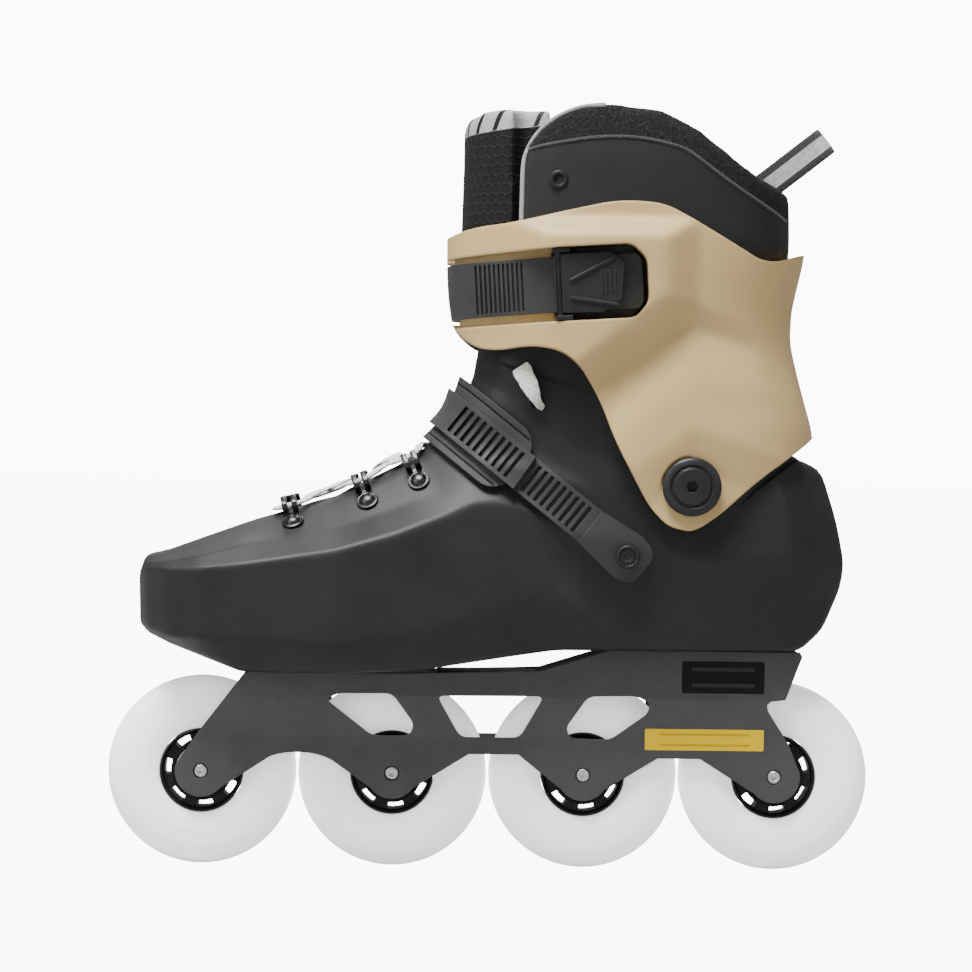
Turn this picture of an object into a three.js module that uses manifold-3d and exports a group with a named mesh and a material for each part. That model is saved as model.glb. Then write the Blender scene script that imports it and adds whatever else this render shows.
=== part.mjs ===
// Left inline skate. Millimetres, +Z up, toe toward -X, outer side toward -Y, wheels stand on Z = 0.
import * as THREE from 'three';
import { mergeVertices } from 'three/addons/utils/BufferGeometryUtils.js';
import ManifoldModule from 'manifold-3d';

const wasm = await ManifoldModule();
wasm.setup();

// ---------- driving sizes ----------
const WHEEL_D = 80;            // wheel over the tyre
const WHEEL_PITCH = 81;        // axle to axle
const WHEEL_COUNT = 4;
const TYRE_W = 24;             // tyre over the sidewalls
const TREAD_W = 6;             // flat running band
const TYRE_BORE_R = 18;        // inside of the tyre
const HUB_R = 17.7;
const BEARING_R = 11;
const BEARING_BORE_R = 4;
const BEARING_W = 7;
const BEARING_OUT = 12;        // outer face of each bearing from the wheel's middle
const FIT = 0.3;               // clearance between seated neighbours
const AXLE_R = 3.7;
const AXLE_TIP_R = 2.85;
const AXLE_HEAD_R = 6;
const AXLE_HEAD_H = 3.4;
const FRAME_IN = 13;           // inner face of the frame walls
const FRAME_OUT = 16;          // outer face of the frame walls
const FRAME_TOP_OUT = 20;      // outer face at the top flange
const FRAME_BOSS_R = 11;
const FRONT_PLATE_Z = 82.5;    // top of the front mounting plate
const REAR_PLATE_Z = 93.2;     // top of the rear mounting plate
const PLATE_T = 3.4;
const BOLT_R = 3;
const BOLT_X = 81;             // mounting bolts from the middle of the wheelbase
const SHELL_T = 4;             // shell wall
const SOLE_T = 8;              // shell sole
const THROAT_FRONT = 10;       // half width of the shell's throat at the toe
const THROAT_BACK = 17;        // and at the ankle
const CUFF_T = 5;              // cuff wall
const CUFF_CLEAR = 1;          // least gap between the cuff and the shell
const CUFF_LEDGE = 4;          // shell's ledge below the cuff's lower edge
const CUFF_PIVOT = [83.4, 162.9];
const PIVOT_CAP_R = 12.3;
const PIVOT_SHANK_R = 5;
const LINER_T = 9;             // padded collar wall
const CUFF_STRAP_W = 23;
const CUFF_STRAP_TILT = 0.0628; // radians, rising to the heel
const INSTEP_STRAP_W = 16.3;
const INSTEP_PAD_W = 30;
const INSTEP_SCREW = [57, 133.5];
const LACE_W = 4;
const LACE_T = 1.4;
const LACE_TURN = 6.5;         // lace's middle line to each side of a hook's neck
const LACE_REACH = 3.7;        // and beyond it

// ---------- solids ----------
function solid(geometry) {
  const bare = new THREE.BufferGeometry();
  bare.setAttribute('position', geometry.getAttribute('position').clone());
  if (geometry.index) bare.setIndex(geometry.index.clone());
  const welded = mergeVertices(bare, 1e-4);
  const p = welded.getAttribute('position').array;
  const index = welded.index.array;
  let kept = [];
  let volume = 0;
  for (let i = 0; i < index.length; i += 3) {
    const [a, b, c] = [index[i], index[i + 1], index[i + 2]];
    if (a === b || b === c || a === c) continue;
    kept.push(a, b, c);
    const [A, B, C] = [a, b, c].map((k) => new THREE.Vector3(p[3 * k], p[3 * k + 1], p[3 * k + 2]));
    volume += A.dot(B.cross(C));
  }
  if (volume < 0) kept = kept.map((_, i) => kept[i - (i % 3) + 2 - (i % 3)]);
  return new wasm.Manifold(new wasm.Mesh({
    numProp: 3, vertProperties: new Float32Array(p), triVerts: new Uint32Array(kept),
  }));
}

const cut = (body, ...tools) => tools.reduce((sum, tool) => sum.subtract(tool), body);
const join = (body, ...more) => more.reduce((sum, one) => sum.add(one), body);
const common = (body, ...more) => more.reduce((sum, one) => sum.intersect(one), body);

function extruded(outline, depth, x, y, z, origin) {
  const shape = new THREE.Shape(outline.map(([u, v]) => new THREE.Vector2(u, v)));
  const g = new THREE.ExtrudeGeometry(shape, { depth, bevelEnabled: false, steps: 1, curveSegments: 1 });
  const m = new THREE.Matrix4().makeBasis(x, y, z).setPosition(origin);
  return solid(g.applyMatrix4(m));
}
const X = new THREE.Vector3(1, 0, 0);
const Y = new THREE.Vector3(0, 1, 0);
const Z = new THREE.Vector3(0, 0, 1);

// side outline [x, z] pushed along Y
const sidePrism = (outline, y0, y1) =>
  extruded(outline, y1 - y0, X, Z, Y.clone().negate(), new THREE.Vector3(0, y1, 0));
// plan outline [x, y] pushed along Z
const planPrism = (outline, z0, z1) => extruded(outline, z1 - z0, X, Y, Z, new THREE.Vector3(0, 0, z0));
// cross outline [y, z] pushed along X
const crossPrism = (outline, x0, x1) => extruded(outline, x1 - x0, Y, Z, X, new THREE.Vector3(x0, 0, 0));
const box = (x0, x1, y0, y1, z0, z1) => sidePrism([[x0, z0], [x1, z0], [x1, z1], [x0, z1]], y0, y1);
const arc = (cx, cz, r, a0, a1, n) => Array.from({ length: n + 1 }, (_, i) => {
  const a = THREE.MathUtils.degToRad(a0 + ((a1 - a0) * i) / n);
  return [cx + r * Math.cos(a), cz + r * Math.sin(a)];
});

// profile [radius, along] turned about a line: along Y by default
function turned(profile, n, at, axis = Y, phase = 0) {
  const g = new THREE.LatheGeometry(profile.map(([r, h]) => new THREE.Vector2(r, h)), n, phase);
  const q = new THREE.Quaternion().setFromUnitVectors(Y, axis.clone().normalize());
  g.applyQuaternion(q).translate(...at);
  return solid(g);
}
const rod = (r, h0, h1, n, at, axis = Y, phase = 0) =>
  turned([[0, h0], [r, h0], [r, h1], [0, h1]], n, at, axis, phase);
const ringRod = (r0, r1, h0, h1, n, at, axis = Y) =>
  turned([[r0, h0], [r1, h0], [r1, h1], [r0, h1], [r0, h0]], n, at, axis);

// closed rings of equal length skinned into one body, alike on both sides of the middle
function loft(rings) {
  const n = rings[0].length;
  const positions = rings.flat().flat();
  const index = [];
  for (let k = 0; k + 1 < rings.length; k++) {
    for (let i = 0; i < n; i++) {
      const [a, b] = [k * n + i, k * n + ((i + 1) % n)];
      if (i < (n - 1) / 2) index.push(a, b, a + n, b, b + n, a + n);
      else index.push(a, b, b + n, a, b + n, a + n);
    }
  }
  [0, rings.length - 1].forEach((k) => {
    const middle = positions.length / 3;
    for (let c = 0; c < 3; c++) positions.push(rings[k].reduce((s, q) => s + q[c], 0) / n);
    for (let i = 0; i < n; i++) {
      const [a, b] = [k * n + i, k * n + ((i + 1) % n)];
      if (k === 0) index.push(middle, b, a); else index.push(middle, a, b);
    }
  });
  const g = new THREE.BufferGeometry();
  g.setAttribute('position', new THREE.Float32BufferAttribute(positions, 3));
  g.setIndex(index);
  return solid(g);
}

// ---------- boot shell form ----------
// rings fanned from the sole and heel line round to the toe, instep and shaft line:
// sole x, z, top x, z, sole half width, then [share of the height, half width] at four creases
const BOOT = [
  [-148, 102, -148.5, 125, 9, [.10, 13], [.84, 15], [.90, 13.5], [.95, 11]],
  [-144.5, 98.5, -146, 131.5, 17, [.09, 24], [.83, 28], [.90, 25], [.95, 20]],
  [-134, 94, -137, 133.5, 27, [.10, 35], [.81, 40], [.89, 35], [.95, 26]],
  [-120, 89, -122, 139, 34, [.18, 43], [.75, 47], [.86, 41], [.94, 29]],
  [-104, 83, -104, 145.5, 38, [.24, 47], [.725, 50.5], [.86, 41], [.95, 27]],
  [-64, 83, -66, 158, 42, [.155, 51], [.69, 52], [.80, 38.5], [.95, 26]],
  [-30, 84.5, -45, 168.5, 42, [.19, 49.5], [.68, 50], [.80, 37], [.945, 26]],
  [8, 90.5, -31, 177, 38, [.22, 47], [.685, 46], [.80, 36], [.94, 26]],
  [28, 93.5, -24, 183.5, 35, [.233, 45], [.68, 44.5], [.80, 36], [.935, 26.5]],
  [45, 93.5, -20, 187.5, 34, [.25, 44.5], [.657, 44.5], [.79, 36.5], [.925, 27.5]],
  [60, 93.5, -17.5, 191, 33, [.06, 38], [.60, 44.5], [.78, 38], [.91, 29]],
  [85, 93.5, -15.5, 195, 32, [.06, 37], [.49, 44], [.74, 40], [.89, 31]],
  [110, 93.5, -14, 199.5, 30, [.06, 35.5], [.425, 43.5], [.68, 42], [.88, 34]],
  [131, 93.8, -12.5, 203.5, 26, [.07, 31.5], [.355, 43], [.62, 42.3], [.87, 35]],
  [141, 103, -11.5, 207, 21, [.07, 29], [.255, 42], [.60, 42.3], [.87, 35.5]],
  [149, 121, -10.5, 210, 15, [.06, 26], [.15, 37.5], [.50, 42.3], [.86, 36]],
  [150.5, 131, -10, 212, 14, [.06, 25], [.16, 38], [.48, 42.3], [.86, 36.5]],
  [147, 149, -9.5, 214, 13, [.06, 24.5], [.16, 38], [.48, 42.3], [.86, 37]],
  [140, 171.5, -9, 216.5, 12, [.06, 23], [.16, 33], [.48, 42], [.86, 37]],
  [127, 175.5, -8.8, 218, 12, [.06, 21], [.15, 34], [.48, 42], [.84, 36]],
  [124, 192, -8.5, 221, 12, [.06, 21], [.15, 34.5], [.48, 42], [.83, 35.5]],
  [122, 236, -8, 236, 12, [.06, 21], [.15, 34.5], [.48, 42], [.83, 35.5]],
];
const TOP_ARC = [28, 60];

function bootRow(k) {
  const i = Math.min(Math.floor(k), BOOT.length - 2);
  const t = k - i;
  const mix = (a, b) => (Array.isArray(a) ? a.map((v, j) => mix(v, b[j])) : a + (b - a) * t);
  return BOOT[i].map((v, j) => mix(v, BOOT[i + 1][j]));
}

// one ring in its own plane: [along the ring's height, half width], from sole to top
function bootHalf(row) {
  const height = Math.hypot(row[2] - row[0], row[3] - row[1]);
  const [v4, y4] = row[8];
  const round = TOP_ARC.map((deg) => {
    const a = THREE.MathUtils.degToRad(deg);
    return [v4 + (1 - v4) * Math.sin(a), y4 * Math.cos(a)];
  });
  return [[0, row[4]], ...row.slice(5), ...round, [1, 0]].map(([v, y]) => [v * height, y]);
}

// outline moved outward by grow, its sole edge by sole
function movedOutline(loop, grow, soleGrow) {
  const n = loop.length;
  const edge = (i) => {
    const [a, b] = [loop[i], loop[(i + 1) % n]];
    const d = Math.hypot(b[0] - a[0], b[1] - a[1]);
    return { n: [-(b[1] - a[1]) / d, (b[0] - a[0]) / d], g: i === n - 1 ? soleGrow : grow };
  };
  return loop.map((p, i) => {
    const [e, f] = [edge((i + n - 1) % n), edge(i)];
    const det = e.n[0] * f.n[1] - e.n[1] * f.n[0];
    if (Math.abs(det) < 0.02) return [p[0] + f.n[0] * f.g, p[1] + f.n[1] * f.g];
    return [p[0] + (e.g * f.n[1] - f.g * e.n[1]) / det, p[1] + (f.g * e.n[0] - e.g * f.n[0]) / det];
  });
}

function bootRing(k, grow, soleGrow) {
  const row = bootRow(k);
  const half = bootHalf(row);
  const loop = [...half, ...half.slice(0, -1).reverse().map(([u, y]) => [u, -y])];
  const height = half[half.length - 1][0];
  const [ux, uz] = [(row[2] - row[0]) / height, (row[3] - row[1]) / height];
  return movedOutline(loop, grow, soleGrow).map(([u, y]) => [row[0] + ux * u, y, row[1] + uz * u]);
}

// the boot's form grown (or shrunk) by a wall, from row k0 to row k1
function bootForm(grow, soleGrow = grow, k0 = 0, k1 = BOOT.length - 1) {
  const rows = [k0];
  for (let k = Math.floor(k0) + 1; k < k1; k++) rows.push(k);
  rows.push(k1);
  return loft(rows.map((k) => bootRing(k, grow, soleGrow)));
}

// a point on the upper part of the boot at row k, y across, raised by h, with the way out of the surface
function onBoot(k, y, h = 0) {
  const point = (kk, yy) => {
    const row = bootRow(kk);
    const half = bootHalf(row);
    let i = half.length - 1;
    while (i > 1 && half[i - 1][1] < Math.abs(yy)) i--;
    const [a, b] = [half[i - 1], half[i]];
    const t = (a[1] - Math.abs(yy)) / (a[1] - b[1]);
    const u = (a[0] + (b[0] - a[0]) * t) / half[half.length - 1][0];
    return new THREE.Vector3(row[0] + (row[2] - row[0]) * u, yy, row[1] + (row[3] - row[1]) * u);
  };
  const p = point(k, y);
  const along = point(k + 0.2, y).sub(point(k - 0.2, y));
  const side = point(k, y + 1.5).sub(point(k, y - 1.5));
  const out = side.cross(along).normalize();
  if (out.z < 0) out.negate();
  return { p: p.addScaledVector(out, h), out };
}

// ---------- cuff form ----------
// level z, front x, rear x, half width
const CUFF = [
  [140, -16, 140, 50.4], [163, -16, 139, 50.4], [180, -16, 137.2, 50],
  [187, -16, 136.8, 49.8], [198, -16, 133.6, 49.6], [211, -16, 130, 49.8],
  [224, -16, 127, 50.6], [237, -18.6, 127.4, 51.6], [247, -19.6, 129.6, 52.3],
  [257, -19.8, 132, 53], [268, -19.8, 133.4, 53.6], [286, -19.8, 134, 54],
];
// padded collar above the cuff's front edge
const COLLAR_TOP = [
  [258, -14.4, 126.4, 47.5], [268, -14, 127, 48], [300, -13.2, 126.5, 47.5], [314, -13, 124, 46.5],
  [330, -11, 120, 45],
];
function ovalRing([z, xf, xb, half], grow, n = 26, power = 2.6) {
  const [mid, a, b] = [(xf + xb) / 2, (xb - xf) / 2 + grow, half + grow];
  const s = (c) => Math.sign(c) * Math.abs(c) ** (2 / power);
  return Array.from({ length: n }, (_, i) => {
    const t = (2 * Math.PI * i) / n;
    return [mid + a * s(Math.cos(t)), b * s(Math.sin(t)), z];
  });
}
const cuffForm = (grow) => loft(CUFF.map((level) => ovalRing(level, grow)));
function collarForm(grow) {
  const low = CUFF.filter(([z]) => z > 185 && z < 250).map((l) => ovalRing(l, grow - CUFF_T - FIT));
  return loft([...low, ...COLLAR_TOP.map((l) => ovalRing(l, grow))]);
}
const WIDE = 80;
const belowLine = (x0, z0, x1, z1, low = 0) => sidePrism([[x0, low], [x1, low], [x1, z1], [x0, z0]], -WIDE, WIDE);
const aboveLine = (x0, z0, x1, z1, top = 400) => sidePrism([[x0, z0], [x1, z1], [x1, top], [x0, top]], -WIDE, WIDE);

// ---------- finished pieces ----------
const parts = [];
const looks = {
  shell: [0x18191b, 0.62, 0], frame: [0x2b2d30, 0.42, 0.75], tyre: [0xe9e9e6, 0.45, 0],
  hub: [0x111214, 0.45, 0], steel: [0xb9bcc0, 0.3, 0.9], race: [0x8f9396, 0.35, 0.8],
  cuff: [0xc9ba98, 0.5, 0], black: [0x0e0f10, 0.5, 0], rubber: [0x1c1d1f, 0.8, 0],
  liner: [0x2f3236, 0.9, 0], mesh: [0x202225, 0.85, 0], lace: [0xe6e6e2, 0.9, 0],
  metal: [0x55585c, 0.35, 0.85], felt: [0x3a3c40, 0.95, 0],
};
function add(name, body, look) {
  const mesh3 = body.getMesh();
  const g = new THREE.BufferGeometry();
  g.setAttribute('position', new THREE.Float32BufferAttribute(Float32Array.from(mesh3.vertProperties), 3));
  g.setIndex(Array.from(mesh3.triVerts));
  g.computeVertexNormals();
  const [color, roughness, metalness] = looks[look];
  const mesh = new THREE.Mesh(g, new THREE.MeshStandardMaterial({ color, roughness, metalness }));
  mesh.name = name;
  parts.push(mesh);
}

const wheelXs = Array.from({ length: WHEEL_COUNT }, (_, i) => (i - (WHEEL_COUNT - 1) / 2) * WHEEL_PITCH);
const axleZ = WHEEL_D / 2;

function tyre(x) {
  const n = 28;
  const flat = 1 / Math.cos(Math.PI / n);
  const [half, r, b] = [TYRE_W / 2, (WHEEL_D / 2) * flat, TYRE_BORE_R];
  const profile = [[b, -half + 1], [b + 7, -half], [r - 6, -half + 1.8], [r, -TREAD_W / 2],
    [r, TREAD_W / 2], [r - 6, half - 1.8], [b + 7, half], [b, half - 1], [b, -half + 1]];
  return turned(profile, n, [x, 0, axleZ], Y, Math.PI / n);
}

function hub(x) {
  const inner = BEARING_OUT - BEARING_W - 0.1;
  const seat = BEARING_R + FIT;
  const body = turned([[9.5, -inner], [seat, -inner], [seat, -11], [HUB_R, -10.4], [HUB_R, 10.4], [seat, 11],
    [seat, inner], [9.5, inner], [9.5, -inner]], 14, [x, 0, axleZ]);
  const windows = Array.from({ length: 7 }, (_, i) => {
    const a = (2 * Math.PI * i) / 7;
    return rod(1.7, -14, 14, 5, [x + 14.3 * Math.sin(a), 0, axleZ + 14.3 * Math.cos(a)]);
  });
  return cut(body, ...windows);
}

function bearing(x, side) {
  const [a, b] = side < 0 ? [-BEARING_OUT, BEARING_W - BEARING_OUT] : [BEARING_OUT - BEARING_W, BEARING_OUT];
  return ringRod(BEARING_BORE_R, BEARING_R, a, b, 14, [x, 0, axleZ]);
}

function axle(x) {
  const head = FRAME_OUT + FIT;
  const body = turned([[0, -FRAME_OUT], [AXLE_TIP_R, -FRAME_OUT], [AXLE_TIP_R, -FRAME_IN + FIT],
    [AXLE_R, -FRAME_IN + FIT], [AXLE_R, head], [AXLE_HEAD_R, head], [AXLE_HEAD_R - 0.7, head + AXLE_HEAD_H],
    [0, head + AXLE_HEAD_H]], 16, [x, 0, axleZ]);
  return cut(body, rod(2.6, head + 0.9, head + 6, 6, [x, 0, axleZ]));
}

function frame() {
  const wall = (s) => crossPrism([[s * FRAME_IN, 20], [s * FRAME_OUT, 20], [s * FRAME_OUT, 57],
    [s * FRAME_TOP_OUT, 71], [s * FRAME_TOP_OUT, 100], [s * (FRAME_TOP_OUT - 3.2), 100],
    [s * (FRAME_TOP_OUT - 3.2), 71], [s * FRAME_IN, 57]], -145, 145);
  const boss = (i, a0, a1) => arc(wheelXs[i], axleZ, FRAME_BOSS_R, a0, a1, 7);
  const side = [
    [-103, FRONT_PLATE_Z], [-122.5, 57], ...boss(0, 165, 320), [-91, 48.4], [-70, 48.4],
    ...boss(1, 215, 325), [-8, 48.4], [13, 48.4], ...boss(2, 215, 325), [72, 47.4], [90, 47.4],
    ...boss(3, 220, 372), [127.5, 54], [118.5, 68], [117.6, 72], [125.7, 73], [132.4, REAR_PLATE_Z - 1],
    [131.8, REAR_PLATE_Z], [50.5, REAR_PLATE_Z], [22, FRONT_PLATE_Z + 1.8], [-38, FRONT_PLATE_Z],
  ];
  const windows = [
    [[-68.5, 71], [-64, 73.8], [-40.7, 74], [-31.3, 61], [-33, 56], [-49, 55.7]],
    [[-21.7, 73.2], [23.6, 73.4], [13.5, 55.5], [-11.7, 55.5]],
    [[42.3, 73.6], [62.8, 74], [68.5, 71.2], [67.7, 66.5], [51.8, 55], [35, 55.6], [33, 60]],
  ].map((w) => sidePrism(w, -WIDE, WIDE));
  const plate = (x0, x1, z) => box(x0, x1, -FRAME_TOP_OUT + 1, FRAME_TOP_OUT - 1, z - PLATE_T, z);
  const seats = wheelXs.flatMap((x) => [-1, 1].map((s) => ringRod(4.1, 7.2,
    Math.min(s * (BEARING_OUT + FIT), s * (FRAME_IN + 0.5)),
    Math.max(s * (BEARING_OUT + FIT), s * (FRAME_IN + 0.5)), 12, [x, 0, axleZ])));
  const body = join(
    cut(common(join(wall(-1), wall(1)), sidePrism(side, -WIDE, WIDE)), ...windows),
    plate(-102, -58.5, FRONT_PLATE_Z), plate(52, 131, REAR_PLATE_Z), plate(-22, 20, FRONT_PLATE_Z + 1), ...seats);
  const holes = wheelXs.flatMap((x) => [
    rod(AXLE_TIP_R + FIT, -30, 0, 12, [x, 0, axleZ]),
    rod(AXLE_R + FIT, -FRAME_IN - 0.1, 30, 12, [x, 0, axleZ])]);
  const bolts = [-BOLT_X, BOLT_X].map((x) => rod(BOLT_R + FIT, 70, 100, 14, [x, 0, 0], Z));
  return cut(body, ...holes, ...bolts);
}

function mountBolt(x, plateZ) {
  const low = plateZ - PLATE_T - FIT;
  const body = turned([[0, low - 3], [5.5, low - 3], [5.5, low], [BOLT_R, low], [BOLT_R, plateZ + 6], [0, plateZ + 6]],
    16, [x, 0, 0], Z);
  return cut(body, rod(2.4, low - 5, low - 1.2, 6, [x, 0, 0], Z));
}

const throat = (inset, z0) => {
  const [f, b] = [THROAT_FRONT - inset, THROAT_BACK - inset];
  return planPrism([[-97 + inset, -f * 0.6], [-91 + inset, -f], [18, -b], [18, b], [-91 + inset, f],
    [-97 + inset, f * 0.6]], z0, 260);
};
const rimLine = (lift) => [-200, 267.4 + lift, 160, 183 + lift];
// shell's own rim, raised under the cuff's front lower edge
const rimOutline = [[-200, 0], [160, 0], [160, 183], [70, 206], [40, 219], [16, 224], [3, 219.8], [-200, 267.4]];

// room that the cuff swings in, kept free of the shell
const cuffRoom = () => common(cut(cuffForm(20), cuffForm(-CUFF_T - CUFF_CLEAR)), join(
  sidePrism(cuffOutline, -WIDE, WIDE),
  sidePrism(cuffOutline.map(([x, z]) => [x, z - CUFF_LEDGE]), -WIDE, WIDE)));
// cuff's wall with its clearance, for the pieces that lie inside it
const cuffKeep = () => cut(cuffForm(3), cuffForm(-CUFF_T - FIT / 2));

function shell() {
  const wall = cut(bootForm(0), cuffRoom(), bootForm(-SHELL_T, -SOLE_T, 1), throat(0, 128));
  const rim = sidePrism(rimOutline, -WIDE, WIDE);
  const eyes = rod(2.6, -60, 60, 10, [18.8, 0, 197.7]);
  const boss = join(...[-1, 1].map((s) => {
    const [a, b] = [s * 39.5, s * 43].sort((p, q) => p - q);
    return rod(9, a, b, 20, [CUFF_PIVOT[0], 0, CUFF_PIVOT[1]]);
  }));
  const instepHole = rod(2.8, -60, 60, 10, [INSTEP_SCREW[0], 0, INSTEP_SCREW[1]]);
  const pivotHole = rod(PIVOT_SHANK_R + FIT, -60, 60, 16, [CUFF_PIVOT[0], 0, CUFF_PIVOT[1]]);
  const boltHoles = [-BOLT_X, BOLT_X].map((x) => rod(BOLT_R + FIT, 70, x < 0 ? FRONT_PLATE_Z + 6.4
    : REAR_PLATE_Z + 6.4, 14, [x, 0, 0], Z));
  return cut(join(common(wall, rim), cut(boss, cuffKeep())), eyes, instepHole, pivotHole, ...boltHoles);
}

// foot space: ovals standing in the same fanned rings
function footSpace() {
  const rows = [1.9, 3, 4, 5, 6, 7, 9, 11, 13, 15, 17, 19, 21];
  return loft(rows.map((k) => {
    const row = bootRow(k);
    const height = Math.hypot(row[2] - row[0], row[3] - row[1]);
    const [ux, uz] = [(row[2] - row[0]) / height, (row[3] - row[1]) / height];
    const [low, high] = [SOLE_T + 7.5 + Math.max(0, k - 12) * 0.3, height - 12.5 - Math.max(0, k - 9) * 0.35];
    const wide = Math.max(...row.slice(5).map((c) => c[1])) - SHELL_T - 7;
    return Array.from({ length: 18 }, (_, i) => {
      const t = (2 * Math.PI * i) / 18;
      const s = (c) => Math.sign(c) * Math.abs(c) ** 0.8;
      const u = (low + high) / 2 + ((high - low) / 2) * s(Math.cos(t));
      return [row[0] + ux * u, wide * s(Math.sin(t)), row[1] + uz * u];
    });
  }));
}

const TONGUE_FRONT = 4.2;
// the strip of the inner boot that the lower tongue fills, widened by grow
function tongueStrip(grow) {
  const rows = Array.from({ length: 17 }, (_, i) => TONGUE_FRONT + i);
  const top = rows.map((k) => { const r = bootRow(k); return [r[2], r[3]]; });
  const inner = rows.map((k) => {
    const r = bootRow(k);
    const h = Math.hypot(r[2] - r[0], r[3] - r[1]);
    const d = 15 + grow;
    return [r[2] - ((r[2] - r[0]) / h) * d, r[3] - ((r[3] - r[1]) / h) * d];
  });
  const first = [top[0][0] - grow, top[0][1] + 6];
  const outline = [first, [-30, 220], [-30, 260], [inner[16][0], 260], ...inner.reverse(),
    [inner[16][0] - grow, inner[16][1]]];
  return sidePrism(outline, -27 - grow, 27 + grow);
}

function linerFoot() {
  const body = cut(bootForm(-SHELL_T - FIT, -SOLE_T - FIT, 1.04), footSpace(), tongueStrip(FIT));
  return common(body, belowLine(...rimLine(3)));
}

function tongueLower() {
  const body = cut(bootForm(-SHELL_T - FIT, -SOLE_T - FIT, 1.04), footSpace());
  return common(body, tongueStrip(0), belowLine(...rimLine(0)));
}

function insole() {
  const floorTop = aboveLine(-160, 60, 160, 60);
  const low = sidePrism([[-131, 80], [-128, 104.5], [-60, 102.5], [-30, 103.5], [10, 110.5], [40, 113.4], [124, 113.4],
    [130, 80]], -WIDE, WIDE);
  const space = common(footSpace(), low, floorTop);
  return common(space, planPrism([[-126, -16], [-104, -30], [-60, -37], [0, -31], [60, -27], [100, -26], [122, -14],
    [122, 14], [100, 26], [60, 27], [0, 29], [-60, 34], [-104, 27], [-126, 13]], 60, 160));
}

// ---------- cuff and what it carries ----------
const cuffOutline = [
  [74, 146], [83, 144.2], [87.5, 146], [95.3, 151.3], [111.8, 166], [134, 182], [140, 186.6], [140, 263.8],
  [117.7, 257.4], [111, 258.2], [86, 272.6], [71, 280.6], [58.4, 281.7], [48, 281.2], [27.2, 276.7], [8.5, 272.4],
  [-10, 270.3], [-30, 263], [-30, 231.5], [-17, 231], [-14.5, 226.4], [-7, 220], [3, 219], [15.4, 221.2],
  [28, 219.3], [36.3, 213], [44.8, 198.7], [51.2, 182], [59.8, 165.5], [66, 154],
];
const tilt = (x, z) => [
  x * Math.cos(CUFF_STRAP_TILT) - z * Math.sin(CUFF_STRAP_TILT),
  x * Math.sin(CUFF_STRAP_TILT) + z * Math.cos(CUFF_STRAP_TILT)];
// outline in the cuff strap's own slanted frame, measured from the buckle's middle
const BUCKLE = [40, 247.2];
const slanted = (points) => points.map(([x, z]) => {
  const [a, b] = tilt(x, z);
  return [BUCKLE[0] + a, BUCKLE[1] + b];
});
const RECESS = 3.2;

function cuff() {
  const wall = common(cut(cuffForm(0), cuffForm(-CUFF_T)), sidePrism(cuffOutline, -WIDE, WIDE));
  const gap = box(-60, 30, -8, 8, 200, 300);
  const skin = cut(cuffForm(3), cuffForm(-RECESS));
  const strapWay = slanted([[-90, -15], [18, -15.4], [24, -9], [24, 9], [18, 15.4], [-12, 15.4], [-90, 13]]);
  const medialWay = slanted([[-90, -13], [2, -13], [2, 13], [-90, 13]]);
  const lateral = common(skin, sidePrism(strapWay, -WIDE, 0));
  const medial = common(skin, sidePrism(medialWay, 0, WIDE));
  const window = sidePrism(slanted([[-15.3, -15.4], [18, -15.4], [24, -9], [24, 9], [18, 15.4], [-15.3, 15.4]]), -WIDE, 0);
  const pivot = rod(PIVOT_SHANK_R + FIT, -60, 60, 16, [CUFF_PIVOT[0], 0, CUFF_PIVOT[1]]);
  const seat = join(...[-1, 1].map((s) => {
    const [a, b] = [s * 49.2, s * 60].sort((p, q) => p - q);
    return rod(PIVOT_CAP_R + 2 * FIT, a, b, 18, [CUFF_PIVOT[0], 0, CUFF_PIVOT[1]]);
  }));
  const rivet = rod(1.8, 30, 60, 12, [slanted([[-12, 0]])[0][0], 0, slanted([[-12, 0]])[0][1]]);
  return cut(wall, gap, lateral, medial, window, pivot, seat, rivet);
}

function pivotBolt(s) {
  const at = [CUFF_PIVOT[0], 0, CUFF_PIVOT[1]];
  const axis = s < 0 ? Y.clone().negate() : Y;
  const body = turned([[0, 39.2], [PIVOT_SHANK_R, 39.2], [PIVOT_SHANK_R, 49.5], [PIVOT_CAP_R, 49.5],
    [PIVOT_CAP_R, 51.6], [PIVOT_CAP_R - 2.5, 53.2], [0, 53.6]], 18, at, axis);
  return cut(body, rod(2.6, 50.8, 60, 6, at, axis));
}

function cuffStrap() {
  const skin = cut(cuffForm(-0.2), cuffForm(-0.2 - 2.5));
  const h = CUFF_STRAP_W / 2;
  const lateral = common(skin, sidePrism(slanted([[-90, -h], [20, -h], [22, -h + 3], [22, h - 3], [20, h], [-90, h]]),
    -WIDE, 0.01));
  const medial = common(skin, sidePrism(slanted([[-90, -h], [-6, -h], [-2, -h + 4], [-2, h - 4], [-6, h], [-90, h]]),
    0, WIDE));
  const hole = slanted([[-12, 0]])[0];
  return cut(join(lateral, medial), rod(2.1, 30, 60, 12, [hole[0], 0, hole[1]]));
}

function strapRivet() {
  const [x, z] = slanted([[-12, 0]])[0];
  return turned([[0, 45.6], [1.5, 45.6], [1.5, 51.1], [4.6, 51.1], [4, 52.3], [0, 52.8]], 14, [x, 0, z]);
}

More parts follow.
